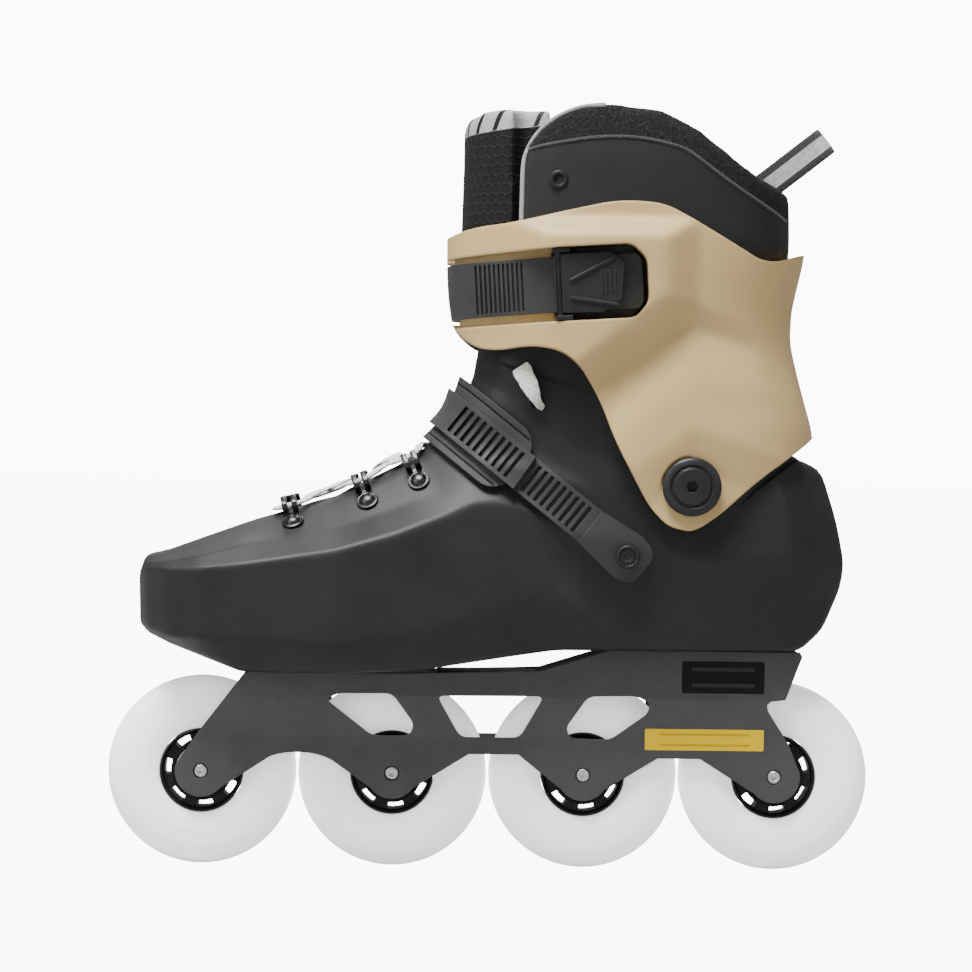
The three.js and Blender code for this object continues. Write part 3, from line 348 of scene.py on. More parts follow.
floor = bpy.data.meshes.new("floor")
side = 30
floor.from_pydata([(-side, -side, 0), (side, -side, 0), (side, side, 0), (-side, side, 0)], [], [(0, 1, 2, 3)])
ground = bpy.data.objects.new("floor", floor)
scene.collection.objects.link(ground)
paper, wire, shader, place = finish("paper", studio["floor"] + (1,), 0.9)
plug(wire, noise(wire, place, 3, 2).mixed(studio["floor"] + (1,), tuple(c * 0.985 for c in studio["floor"]) + (1,)),
     shader, "Base Color")
floor.materials.append(paper)

# pale surroundings that light the skate softly and look like white paper behind it
world = bpy.data.worlds.new("studio")
world.use_nodes = True
scene.world = world
air = Wire(world.node_tree)
world.node_tree.nodes.remove(world.node_tree.nodes["Background"])
sky = air.node("ShaderNodeBackground", None, {0: (1, 1, 1, 1), 1: studio["sky"]})
seen = air.node("ShaderNodeBackground", None, {0: (1, 1, 1, 1), 1: studio["paper"]})
both = air.node("ShaderNodeMixShader", None, {0: air.node("ShaderNodeLightPath"), 1: sky, 2: seen})
air.tree.links.new(both.socket, world.node_tree.nodes["World Output"].inputs[0])
glow = wire.node("ShaderNodeEmission", None, {0: (1, 1, 1, 1), 1: studio["paper"]})
drawn = Wire(paper.node_tree, shader.outputs[0])
both = wire.node("ShaderNodeMixShader", None, {0: wire.node("ShaderNodeLightPath") * 0.9, 1: drawn, 2: glow})
wire.tree.links.new(both.socket, paper.node_tree.nodes["Material Output"].inputs[0])
print("finishes mixed")


# surfaces
def gridFaces(rows, cols, closed):
    # quads between neighbours of a rows by cols grid of points, wrapped round the columns when closed
    i, j = np.meshgrid(np.arange(rows - 1), np.arange(cols if closed else cols - 1), indexing="ij")
    k = (j + 1) % cols
    return np.stack([i * cols + j, i * cols + k, (i + 1) * cols + k, (i + 1) * cols + j], -1).reshape(-1, 4)


def build(name, points, faces, lengths=None):
    # a mesh from points in millimetres; lengths gives each point's place along and across, in metres
    mesh = bpy.data.meshes.new(name)
    mesh.from_pydata((np.asarray(points, float) * mm).tolist(), [], [list(f) for f in faces])
    if lengths is not None:
        loops = np.zeros(len(mesh.loops), int)
        mesh.loops.foreach_get("vertex_index", loops)
        layer = mesh.uv_layers.new(name="lengths")
        layer.data.foreach_set("uv", np.asarray(lengths, float)[loops].ravel())
    made = bpy.data.objects.new(name, mesh)
    scene.collection.objects.link(made)
    return made


def weld(made):
    # doubles merged and faces turned outward
    shape = bmesh.new()
    shape.from_mesh(made.data)
    bmesh.ops.remove_doubles(shape, verts=shape.verts, dist=1e-6)
    bmesh.ops.dissolve_degenerate(shape, edges=shape.edges, dist=1e-7)
    bmesh.ops.recalc_face_normals(shape, faces=shape.faces)
    shape.to_mesh(made.data)
    shape.free()
    return made


def skin(name, rings, lengths=None):
    # closed rings of equal count joined in order, with a flat face at each end
    rings = np.asarray(rings, float)
    rows, cols = rings.shape[:2]
    faces = gridFaces(rows, cols, True).tolist()
    faces += [list(range(cols))[::-1], list(range((rows - 1) * cols, rows * cols))]
    return weld(build(name, rings.reshape(-1, 3), faces, lengths))


def prism(name, outline, low, high, flat="xz"):
    # outline pushed from low to high along the axis that it doesn't name
    outline = np.asarray(outline, float)
    order = {"xz": (0, 2, 1), "xy": (0, 1, 2), "yz": (1, 2, 0)}[flat]
    rings = np.zeros((2, len(outline), 3))
    for index, level in enumerate((low, high)):
        rings[index][:, order[0]], rings[index][:, order[1]] = outline[:, 0], outline[:, 1]
        rings[index][:, order[2]] = level
    return skin(name, rings)


def lathe(name, profile, at, axis=(0, 1, 0), count=64, phase=0.0):
    # profile of radius and height turned round an axis through a point
    profile = np.asarray(profile, float)
    a = np.linspace(0, 2 * math.pi, count, endpoint=False) + phase
    axis = Vector(axis).normalized()
    basis = np.array(Vector((0, 1, 0)).rotation_difference(axis).to_matrix())
    r, h = profile[:, :1], profile[:, 1:]
    points = np.stack([r * np.sin(a), h + 0 * a, r * np.cos(a)], -1) @ basis.T + np.asarray(at, float)
    return weld(build(name, points.reshape(-1, 3), gridFaces(len(profile), count, True)))


def rod(radius, low, high, at, axis=(0, 1, 0), count=64):
    # a plain round bar between two heights on an axis
    return lathe("rod", [(0, low), (radius, low), (radius, high), (0, high)], at, axis, count)


def settle(made):
    # modifiers turned into plain mesh
    bpy.context.view_layer.update()
    graph = bpy.context.evaluated_depsgraph_get()
    mesh = bpy.data.meshes.new_from_object(made.evaluated_get(graph))
    made.modifiers.clear()
    made.data = mesh
    return made


def carve(made, tools, how="DIFFERENCE"):
    # tools cut from, joined to or kept in common with made, and thrown away
    for tool in tools if isinstance(tools, (list, tuple)) else [tools]:
        step = made.modifiers.new("carve", "BOOLEAN")
        step.operation, step.solver, step.object = how, "MANIFOLD", tool
        settle(made)
        bpy.data.objects.remove(tool)
    return made


def layer(form, high, low, *settings):
    # what lies between two offsets of one form
    return carve(form("layer", high, *settings), form("layerUnder", low, *settings))


def smooth(made, angle=32):
    # shading smooth over gentle edges, crisp over edges sharper than angle
    bpy.context.view_layer.update()
    for other in bpy.context.selected_objects:
        other.select_set(False)
    made.select_set(True)
    bpy.context.view_layer.objects.active = made
    bpy.ops.object.shade_smooth_by_angle(angle=math.radians(angle))
    made.select_set(False)
    return made


def dress(made, material, body, nodes=(), bevel=0.0, angle=32, segments=2):
    # material, shading, a bevel of that many millimetres, and the body that carries the piece
    made.data.materials.clear()
    made.data.materials.append(material)
    if bevel:
        step = made.modifiers.new("edge", "BEVEL")
        step.width, step.segments, step.limit_method, step.angle_limit = bevel * mm, segments, "ANGLE", 0.6
        step.harden_normals = True
    smooth(made, angle)
    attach(made, body)
    if nodes:
        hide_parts(*nodes)
    return made


def rounded(outline, radius, steps=5):
    # outline with each corner swapped for a quadratic curve that starts radius away, or at most half an edge
    outline = np.asarray(outline, float)
    radius = np.broadcast_to(radius, len(outline))
    before, after = np.roll(outline, 1, 0), np.roll(outline, -1, 0)
    back, forth = before - outline, after - outline
    lb, lf = np.linalg.norm(back, axis=1), np.linalg.norm(forth, axis=1)
    reach = np.minimum(radius, np.minimum(lb, lf) * 0.48)
    start = outline + back * (reach / lb)[:, None]
    end = outline + forth * (reach / lf)[:, None]
    t = np.linspace(0, 1, steps + 1)[None, :, None]
    curve = start[:, None] * (1 - t) ** 2 + outline[:, None] * 2 * t * (1 - t) + end[:, None] * t ** 2
    return curve.reshape(-1, 2)


def circle(cx, cz, radius, first, last, count):
    a = np.radians(np.linspace(first, last, count + 1))
    return np.stack([cx + radius * np.cos(a), cz + radius * np.sin(a)], 1)


def eased(points, times, closed):
    # each point moved to a quarter, half, quarter mix of itself and its neighbours, along and across
    for _ in range(times):
        if closed:
            points = (np.roll(points, 1, 1) + 2 * points + np.roll(points, -1, 1)) / 4
        inner = (points[:-2] + 2 * points[1:-1] + points[2:]) / 4
        points = np.concatenate([points[:1], inner, points[-1:]])
    return points


# boot form
# rings fanned from the sole line round to the instep line: sole x, z, top x, z, sole half width,
# then share of the height and half width at four creases
bootRows = np.array([
    [-148, 102, -148.5, 125, 9, .10, 13, .84, 15, .90, 13.5, .95, 11],
    [-144.5, 98.5, -146, 131.5, 17, .09, 24, .83, 28, .90, 25, .95, 20],
    [-134, 94, -137, 133.5, 27, .10, 35, .81, 40, .89, 35, .95, 26],
    [-120, 89, -122, 139, 34, .18, 43, .75, 47, .86, 41, .94, 29],
    [-104, 83, -104, 145.5, 38, .24, 47, .725, 50.5, .86, 41, .95, 27],
    [-64, 83, -66, 158, 42, .155, 51, .69, 52, .80, 38.5, .95, 26],
    [-30, 84.5, -45, 168.5, 42, .19, 49.5, .68, 50, .80, 37, .945, 26],
    [8, 90.5, -31, 177, 38, .22, 47, .685, 46, .80, 36, .94, 26],
    [28, 93.5, -24, 183.5, 35, .233, 45, .68, 44.5, .80, 36, .935, 26.5],
    [45, 93.5, -20, 187.5, 34, .25, 44.5, .657, 44.5, .79, 36.5, .925, 27.5],
    [60, 93.5, -17.5, 191, 33, .06, 38, .60, 44.5, .78, 38, .91, 29],
    [85, 93.5, -15.5, 195, 32, .06, 37, .49, 44, .74, 40, .89, 31],
    [110, 93.5, -14, 199.5, 30, .06, 35.5, .425, 43.5, .68, 42, .88, 34],
    [131, 93.8, -12.5, 203.5, 26, .07, 31.5, .355, 43, .62, 42.3, .87, 35],
    [141, 103, -11.5, 207, 21, .07, 29, .255, 42, .60, 42.3, .87, 35.5],
    [149, 121, -10.5, 210, 15, .06, 26, .15, 37.5, .50, 42.3, .86, 36],
    [150.5, 131, -10, 212, 14, .06, 25, .16, 38, .48, 42.3, .86, 36.5],
    [147, 149, -9.5, 214, 13, .06, 24.5, .16, 38, .48, 42.3, .86, 37],
    [140, 171.5, -9, 216.5, 12, .06, 23, .16, 33, .48, 42, .86, 37],
    [127, 175.5, -8.8, 218, 12, .06, 21, .15, 34, .48, 42, .84, 36],
    [124, 192, -8.5, 221, 12, .06, 21, .15, 34.5, .48, 42, .83, 35.5],
    [122, 236, -8, 236, 12, .06, 21, .15, 34.5, .48, 42, .83, 35.5]])


def bootRow(k):
    i = min(int(k), len(bootRows) - 2)
    return bootRows[i] + (bootRows[i + 1] - bootRows[i]) * (k - i)


def bootHalf(row):
    # one side of a ring in its own plane, from the sole's edge to the top
    height = math.hypot(row[2] - row[0], row[3] - row[1])
    v, y = row[5::2], row[6::2]
    a = np.radians([28, 60])
    v = np.concatenate([[0], v, v[-1] + (1 - v[-1]) * np.sin(a), [1]])
    y = np.concatenate([[row[4]], y, y[-1] * np.cos(a), [0]])
    return np.stack([v * height, y], 1)


def bootRing(k, grow, sole):
    # ring k with its edges moved out by grow, its sole by sole, and met again at mitred corners
    row = bootRow(k)
    half = bootHalf(row)
    height = half[-1, 0]
    loop = np.concatenate([half, half[-2::-1] * (1, -1)])
    step = np.roll(loop, -1, 0) - loop
    out = np.stack([-step[:, 1], step[:, 0]], 1) / np.linalg.norm(step, axis=1)[:, None]
    reach = np.full(len(loop), float(grow))
    reach[-1] = sole
    e, f, a, b = np.roll(out, 1, 0), out, np.roll(reach, 1), reach
    det = e[:, 0] * f[:, 1] - e[:, 1] * f[:, 0]
    near = np.abs(det) < 0.02
    det = np.where(near, 1, det)
    u = np.where(near, f[:, 0] * b, (a * f[:, 1] - b * e[:, 1]) / det)
    w = np.where(near, f[:, 1] * b, (b * e[:, 0] - a * f[:, 0]) / det)
    moved = loop + np.stack([u, w], 1)
    slope = np.array([row[2] - row[0], row[3] - row[1]]) / height
    return np.stack([row[0] + slope[0] * moved[:, 0], moved[:, 1], row[1] + slope[1] * moved[:, 0]], 1)


def drawnOut(points, spacing, axis):
    # more points put in evenly between neighbours, so that they lie about spacing apart
    points = np.moveaxis(points, axis, 0)
    gaps = np.linalg.norm(np.diff(points, axis=0), axis=-1)
    gaps = gaps.reshape(len(gaps), -1).mean(1)
    counts = np.maximum(1, np.round(gaps / spacing).astype(int))
    at = np.concatenate([i + np.arange(c) / c for i, c in enumerate(counts)] + [[len(points) - 1]])
    low = np.minimum(at.astype(int), len(points) - 2)
    t = (at - low).reshape((-1,) + (1,) * (points.ndim - 1))
    return np.moveaxis(points[low] * (1 - t) + points[low + 1] * t, 0, axis)


def bootForm(name, grow, sole=None, first=0.0, last=21.0, spacing=2.4, soft=3):
    # the boot grown by a wall, as fine rings with its creases eased
    rows = [first] + [k for k in range(int(first) + 1, math.ceil(last))] + [last]
    rings = np.stack([bootRing(k, grow, grow if sole is None else sole) for k in rows])
    rings = drawnOut(rings, spacing, 0)
    rings = drawnOut(np.concatenate([rings, rings[:, :1]], 1), spacing, 1)[:, :-1]
    return skin(name, eased(rings, soft, True))


def onBoot(k, y, lift=0.0):
    # point on the boot's upper at row k and y across, raised by lift, and the way out of the surface
    def point(kk, yy):
        row = bootRow(kk)
        half = bootHalf(row)
        i = len(half) - 1
        while i > 1 and half[i - 1][1] < abs(yy):
            i -= 1
        a, b = half[i - 1], half[i]
        u = (a[0] + (b[0] - a[0]) * (a[1] - abs(yy)) / (a[1] - b[1])) / half[-1][0]
        return Vector((row[0] + (row[2] - row[0]) * u, yy, row[1] + (row[3] - row[1]) * u))
    place = point(k, y)
    out = (point(k, y + 1.5) - point(k, y - 1.5)).cross(point(k + 0.2, y) - point(k - 0.2, y)).normalized()
    if out.z < 0:
        out.negate()
    return place + out * lift, out


# cuff form
cuffLevels = np.array([
    [140, -16, 140, 50.4], [163, -16, 139, 50.4], [180, -16, 137.2, 50], [187, -16, 136.8, 49.8],
    [198, -16, 133.6, 49.6], [211, -16, 130, 49.8], [224, -16, 127, 50.6], [237, -18.6, 127.4, 51.6],
    [247, -19.6, 129.6, 52.3], [257, -19.8, 132, 53], [268, -19.8, 133.4, 53.6], [286, -19.8, 134, 54]])
bulge = {"ridge": 7.6, "valley": 3.6, "plate": 2.4, "pivot": 1.6}


def bulged(x, z):
    # lift of the cuff's outer face: a rim round the buckle whose top faces up and whose underside
    # falls to a valley, and flat planes that meet in creases at the heel and over the pivot
    above = np.maximum(((z - 198.6) - (x - 40.6) * 0.765) / 1.26, (z - 230.3 + (x - 82) * 0.364) / 1.064)
    over = np.clip((275 - z) / 8, 0, 1)
    behind = np.clip((85 - x) / 13, 0, 1)
    before = np.clip((x - 2) / 20, 0, 1)
    rim = np.minimum(np.minimum(over, np.clip((above - 2) / 14, 0, 1)), np.minimum(behind, before)) * bulge["ridge"]
    near = np.clip(1 - np.abs(above) / np.where(above > 0, 9, 20), 0, 1)
    low = near * np.clip((x - 38) / 14, 0, 1) * np.clip((112 - x) / 24, 0, 1) * -bulge["valley"]
    plate = np.clip(-above / 14, 0, 1) * bulge["plate"] * np.clip((x - 44) / 12, 0, 1)
    under = np.maximum(((z - 170) - (x - 59) * 0.692) / 1.216, (z - 188 + (x - 85) * 0.384) / 1.07)
    fade = np.clip(-under / 16, 0, 1)
    pivot = fade * np.clip((x - 52) / 8, 0, 1) * -bulge["pivot"] - plate * fade
    return rim + low + plate + pivot


def oval(levels, grow, count, shaped=False, spacing=1.6, power=2.6):
    # levels filled in along z, each a rounded box of half lengths a and b: |x/a|^p + |y/b|^p = 1
    z = np.arange(levels[0, 0], levels[-1, 0] + 0.01, spacing)
    front, back, half = [np.interp(z, levels[:, 0], levels[:, i]) for i in (1, 2, 3)]
    for values in (front, back, half):
        kernel = np.hanning(11) / np.hanning(11).sum()
        values[:] = np.convolve(np.pad(values, 5, "reflect", reflect_type="odd"), kernel, "valid")
    t = np.linspace(0, 2 * math.pi, count, endpoint=False)
    even = np.sign(np.cos(t)) * np.abs(np.cos(t)) ** (2 / power)
    odd = np.sign(np.sin(t)) * np.abs(np.sin(t)) ** (2 / power)
    x = (front + back)[:, None] / 2 + ((back - front)[:, None] / 2 + grow) * even
    y = (half[:, None] + grow) * odd
    if shaped:
        lift = bulged(x, z[:, None] + 0 * x) * np.clip(np.abs(y) / 12 - 1, 0, 1)
        lift = eased(lift[..., None], 1, True)[..., 0]
        y = y + np.sign(y) * lift
    return np.stack([x, y, z[:, None] + 0 * x], -1)


def cuffForm(name, grow, count=120, shaped=False, spacing=3.0):
    return skin(name, oval(cuffLevels, grow, count, shaped, spacing))


cuffSide = np.array([
    [74, 146], [83, 144.2], [87.5, 146], [95.3, 151.3], [111.8, 166], [134, 182], [140, 186.6], [140, 263.8],
    [117.7, 257.4], [111, 258.2], [86, 272.6], [71, 280.6], [58.4, 281.7], [48, 281.2], [27.2, 276.7],
    [8.5, 272.4], [-10, 270.3], [-30, 263], [-30, 231.5], [-17, 231], [-14.5, 226.4], [-7, 220], [3, 219],
    [15.4, 221.2], [28, 219.3], [36.3, 213], [44.8, 198.7], [51.2, 182], [59.8, 165.5], [66, 154]])
strap = {"tilt": 0.0628, "middle": (40, 247.2), "width": 23, "ribs": 11, "pitch": 1.9, "firstRib": -47.5,
         "rib": 0.75, "margin": 1.3, "face": -0.2, "back": -2.7, "floor": -1.1, "hole": 2.1}
pivotAt = (83.4, 162.9)


def slanted(points):
    # points in the cuff strap's own slanted frame, measured from the buckle's middle
    points = np.asarray(points, float)
    c, s = math.cos(strap["tilt"]), math.sin(strap["tilt"])
    return np.stack([strap["middle"][0] + points[:, 0] * c - points[:, 1] * s,
                     strap["middle"][1] + points[:, 0] * s + points[:, 1] * c], 1)


def gathered(name, pieces):
    # several closed meshes that don't touch, held in one object
    shape = bmesh.new()
    for piece in pieces:
        shape.from_mesh(piece.data)
        bpy.data.objects.remove(piece)
    mesh = bpy.data.meshes.new(name)
    shape.to_mesh(mesh)
    shape.free()
    made = bpy.data.objects.new(name, mesh)
    scene.collection.objects.link(made)
    return made


# chassis
chassis = {"walls": (13, 16, 20), "boss": 11, "plates": (82.5, 93.2), "plate": 3.4, "bolts": (-81, 81)}
wheel = {"places": (-121.5, -40.5, 40.5, 121.5), "height": 40, "radius": 40, "half": 12, "tread": 3, "bore": 18,
         "windows": 7, "windowAt": 14.3}


def makeFrame():
    inner, outer, top = chassis["walls"]
    walls = []
    for s in (-1, 1):
        section = np.array([[inner, 20], [outer, 20], [outer, 55], [outer + 0.5, 58], [top - 0.5, 70], [top, 73],
                            [top, 100], [top - 3.2, 100], [top - 3.2, 73], [top - 3.6, 70.5], [inner + 0.4, 58.5],
                            [inner, 55.5]]) * (s, 1)
        walls.append(prism("wall", section, -145, 145, "yz"))
    body = gathered("frameBody", walls)
    x, z = wheel["places"], wheel["height"]
    boss = lambda i, a, b: circle(x[i], z, chassis["boss"], a, b, 26).tolist()
    front, rear = chassis["plates"]
    side = [[-103, front], [-122.5, 57], *boss(0, 165, 320), *rounded(
        [[-113, 33], [-91, 48.4], [-70, 48.4], [-49.5, 33.7]], 9)[8:17].tolist(), *boss(1, 215, 325), [-8, 48.4],
        [13, 48.4], *boss(2, 215, 325), [72, 47.4], [90, 47.4], *boss(3, 220, 372), [127.5, 54], [118.5, 68],
        [117.9, 70.6], [119.4, 72.2], [125.7, 73], [132.6, rear - 2], [131.8, rear], [50.5, rear],
        [22, front + 1.8], [-38, front]]
    carve(body, prism("side", side, -80, 80), "INTERSECT")
    windows = [
        [[-68.5, 71], [-64, 73.8], [-40.7, 74], [-31.3, 61], [-33, 56], [-49, 55.7]],
        [[-21.7, 73.2], [23.6, 73.4], [13.5, 55.5], [-11.7, 55.5]],
        [[42.3, 73.6], [62.8, 74], [68.5, 71.2], [67.7, 66.5], [51.8, 55], [35, 55.6], [33, 60]]]
    carve(body, gathered("windows", [prism("window", rounded(w, 3.2), -80, 80) for w in windows]))
    for a, b, level in ((-102, -58.5, front), (52, 131, rear), (-22, 20, front + 1)):
        carve(body, prism("plate", [(a, level - chassis["plate"]), (b, level - chassis["plate"]), (b, level),
                                    (a, level)], -top + 1, top - 1), "UNION")
    seats = [lathe("seat", [(4.1, s * 12.3), (7.2, s * 12.3), (7.2, s * 13.5), (4.1, s * 13.5), (4.1, s * 12.3)],
                   (px, 0, z), count=32) for px in x for s in (-1, 1)]
    carve(body, gathered("seats", seats), "UNION")
    carve(body, [rod(r, a, b, (px, 0, z), count=40) for px in x for r, a, b in ((3.15, -30, 0), (4, -13.1, 30))])
    carve(body, gathered("bolts", [rod(3.3, 70, 100, (px, 0, 0), (0, 0, 1), 32) for px in chassis["bolts"]]))
    return dress(body, frameGrey, "boot", ["frame"])


makeFrame()
print("frame built")


def makeWheel(number, x):
    at = (x, 0, wheel["height"])
    body = f"wheel_{number}"
    big, half, bore = wheel["radius"], wheel["half"], wheel["bore"]
    edge = np.linspace(0, math.pi / 2, 14)
    crown = [(big - 13 + 13 * math.sin(a) ** 0.9, -3 - 8.8 * math.cos(a)) for a in edge]
    profile = [(bore, -half + 1.2), (bore + 0.4, -half + 0.9), (bore + 7, -half + 0.05), (bore + 8.5, -half + 0.08),
               *crown, *[(r, -h) for r, h in crown[::-1]], (bore + 8.5, half - 0.08), (bore + 7, half - 0.05),
               (bore + 0.4, half - 0.9), (bore, half - 1.2), (bore, -half + 1.2)]
    tyre = lathe(f"tyreCast{number}", profile, at, count=144)
    dress(tyre, tyreWhite, body, [f"tyre_{number}"])
    rim = 17.7
    section = [(9.5, -4.9), (11.3, -4.9), (11.3, -11), (12, -11.2), (12.4, -10.6), (12.6, -8.6), (16, -8.6),
               (16.3, -10.6), (17, -11), (rim, -10.6)]
    profile = [*section, *[(r, -h) for r, h in section[::-1]], section[0]]
    hub = lathe(f"hubMoulded{number}", profile, at, count=112)
    slots = []
    for i in range(wheel["windows"]):
        a = 2 * math.pi * (i + 0.36) / wheel["windows"]
        sweep = np.linspace(-0.235, 0.235, 9)
        arc = [(wheel["windowAt"] + 1.45) * np.stack([np.sin(a + sweep), np.cos(a + sweep)], 1),
               (wheel["windowAt"] - 1.35) * np.stack([np.sin(a + sweep[::-1]), np.cos(a + sweep[::-1])], 1)]
        slots.append(prism("slot", rounded(np.concatenate(arc) + (x, wheel["height"]), 0.8, 2), -14, 14))
    carve(hub, gathered("slots", slots))
    dress(hub, hubBlack, body, [f"hub_{number}"])
    for name, s in (("outer", -1), ("inner", 1)):
        a, b = sorted((s * 5, s * 12))
        ring = lathe(f"bearingRing{number}_{name}", [
            (4, a), (6.1, a), (6.3, a + 0.5), (8.9, a + 0.5), (9.1, a), (10.8, a), (11, a + 0.25), (11, b - 0.25),
            (10.8, b), (9.1, b), (8.9, b - 0.5), (6.3, b - 0.5), (6.1, b), (4, b), (4, a)], at, count=56)
        dress(ring, shieldSteel, body, [f"bearing_{number}_{name}"])
    pin = lathe(f"axlePin{number}", [
        (0, -16.1), (2.3, -16.1), (2.85, -15.6), (2.85, -12.7), (3.7, -12.5), (3.7, 16.3), (5.7, 16.3), (6, 16.6),
        (6, 18.8), (5.3, 19.7), (0, 19.7)], at, count=48)
    key = rod(2.6, 17.3, 22, at, count=6)
    tip = lathe("key", [(0, -18), (1.5, -18), (1.5, -15.5), (0, -14.9)], at, count=6)
    carve(pin, gathered("keys", [key, tip]))
    dress(pin, brightSteel, "boot", [f"axle_{number}"])


for number, x in enumerate(wheel["places"]):
    makeWheel(number + 1, x)
print("wheels turned")

labels = {"yellow": (66.5, 116.9, 51, 60.1), "dark": (81.8, 116.6, 75.5, 89)}


def makeLabel(name, box, y, material):
    # a thin film lying on the frame's outer face, its corners rounded
    x0, x1, z0, z1 = box
    outline = rounded([(x0, z0), (x1, z0), (x1, z1), (x0, z1)], 0.8, 3)
    y = np.array(y)
    rings = np.zeros((2, len(outline), 3))
    rings[:, :, 0], rings[:, :, 2] = outline[:, 0], outline[:, 1]
    slope = (y[1] - y[0]) * (outline[:, 1] - z0) / (z1 - z0) + y[0]
    rings[0, :, 1], rings[1, :, 1] = slope, slope - 0.12
    uv = np.stack([(outline[:, 0] - x0) / (x1 - x0), (outline[:, 1] - z0) / (z1 - z0)], 1)
    made = skin(name, rings, np.concatenate([uv, uv]))
    return dress(made, material, "boot")


makeLabel("labelYellow", labels["yellow"], (-16.05, -17.1), yellowLabel)
makeLabel("labelDark", labels["dark"], (-20.02, -20.02), darkLabel)
print("labels laid")


# hard boot
shell = {"wall": 4, "sole": 8, "clear": 1, "cuffWall": 5, "ledge": 4, "throat": (10, 17), "tooth": 5.2,
         "rim": [(-200, 0), (160, 0), (160, 183), (70, 206), (40, 219), (16, 224), (3, 219.8), (-200, 267.4)],
         "eyelet": (18.8, 197.7), "eyeletHole": 2.6, "screwHole": 2.8, "pivotHole": 5.3, "boltHole": 3.3,
         "bolts": ((-81, 88.9), (81, 99.6)), "bossRadius": 9, "boss": (39.5, 43)}
hooks = {"rows": (4.55, 5.62, 6.75), "across": 31, "neck": 5.6}
instep = {"screw": (57, 133.5), "along": (-0.783, 0.622), "across": (0.622, 0.783), "width": 16.3, "pad": 30,
          "low": 0.4, "padTop": 3.2, "strapTop": 6.2, "hole": 3.1, "groove": 1.7, "pitch": 3.35, "margin": 1.8,
          # how far from the screw the grooves start, how many, and how far their floor stands off the boot
          "grooves": ((24, 9, 2.0), (60, 10, 4.7))}


def throatOutline():
    # plan of the open throat: half width grows to the ankle, narrowed beside each hook so that the edge
    # steps like a saw, and wider between them
    x = np.linspace(-91, 18, 90)
    half = shell["throat"][0] + (x + 91) / 109 * (shell["throat"][1] - shell["throat"][0])
    hookX = [onBoot(k, hooks["across"])[0].x for k in hooks["rows"]]
    gap = np.full(len(x), 99.0)
    for a in hookX:
        d = x - a
        gap = np.minimum(gap, np.abs(np.where(d > 0, d * 0.8, d)))
    ends = np.clip((-12 - x) / 6, 0, 1) * np.clip((x + 92) / 8, 0, 1)
    half = half + shell["tooth"] * np.clip((gap - 6) / 7, 0, 1) * ends
    side = np.stack([x, -half], 1)
    return np.concatenate([[[-97, -4]], side, (side * (1, -1))[::-1], [[-97, 4]]])


def makeShell():
    body = bootForm("shellMoulded", 0, spacing=2.0, soft=2)
    room = layer(cuffForm, 20, -shell["cuffWall"] - shell["clear"])
    reach = prism("reach", cuffSide, -80, 80)
    carve(reach, prism("reach2", cuffSide - (0, shell["ledge"]), -80, 80), "UNION")
    carve(room, reach, "INTERSECT")
    carve(body, room)
    carve(body, bootForm("hollow", -shell["wall"], -shell["sole"], 1, spacing=4))
    carve(body, prism("throat", throatOutline(), 128, 260, "xy"))
    carve(body, prism("rim", shell["rim"], -80, 80), "INTERSECT")
    for s in (-1, 1):
        a, b = sorted(s * level for level in shell["boss"])
        boss = rod(shell["bossRadius"], a, b, (pivotAt[0], 0, pivotAt[1]), count=48)
        carve(body, boss, "UNION")
    for (px, pz), r in ((shell["eyelet"], shell["eyeletHole"]), (instep["screw"], shell["screwHole"]),
                        (pivotAt, shell["pivotHole"])):
        carve(body, rod(r, -60, 60, (px, 0, pz), count=32))
    for px, top in shell["bolts"]:
        carve(body, rod(shell["boltHole"], 70, top, (px, 0, 0), (0, 0, 1), 28))
    return dress(body, shellBlack, "boot", ["shell"], angle=38)


makeShell()
print("shell moulded")


# cuff
cuff = {"gap": 8, "corner": 7, "way": -3.2, "seat": 12.9, "seatFrom": 49.2, "pivotHole": 5.3, "rivet": (-12, 0),
        "rivetHole": 1.8}


def makeCuff():
    body = cuffForm("cuffMoulded", 0, 260, True, 1.5)
    carve(body, cuffForm("inside", -shell["cuffWall"], 120))
    carve(body, prism("outline", rounded(cuffSide, cuff["corner"], 6), -80, 80), "INTERSECT")
    carve(body, prism("gap", [(-60, 200), (30, 200), (30, 300), (-60, 300)], -cuff["gap"], cuff["gap"]))
    ways = [(rounded(slanted([[-90, -15], [18, -15.4], [24, -9], [24, 9], [18, 15.4], [-12, 15.4], [-90, 13]]), 4),
             -80, 0),
            (rounded(slanted([[-90, -13], [2, -13], [2, 13], [-90, 13]]), 3), 0, 80)]
    for outline, low, high in ways:
        way = layer(cuffForm, 9, cuff["way"])
        carve(way, prism("side", outline, low, high), "INTERSECT")
        carve(body, way)
    carve(body, prism("window", rounded(slanted([[-15.3, -15.4], [18, -15.4], [24, -9], [24, 9], [18, 15.4],
                                                [-15.3, 15.4]]), 3), -80, 0))
    x, z = pivotAt
    for s in (-1, 1):
        a, b = sorted((s * cuff["seatFrom"], s * 60))
        carve(body, rod(cuff["seat"], a, b, (x, 0, z), count=72))
    carve(body, rod(cuff["pivotHole"], -60, 60, (x, 0, z), count=40))
    px, pz = slanted([cuff["rivet"]])[0]
    carve(body, rod(cuff["rivetHole"], 30, 60, (px, 0, pz), count=24))
    return dress(body, cuffSand, "cuff", ["cuff"], angle=30)


makeCuff()


def turnedPart(name, profile, at, axis, material, body, nodes, socket=None, count=64, sides=6):
    made = lathe(name, profile, at, axis, count)
    if socket:
        r, low, high = socket
        carve(made, rod(r, low, high, at, axis, sides))
    return dress(made, material, body, nodes)


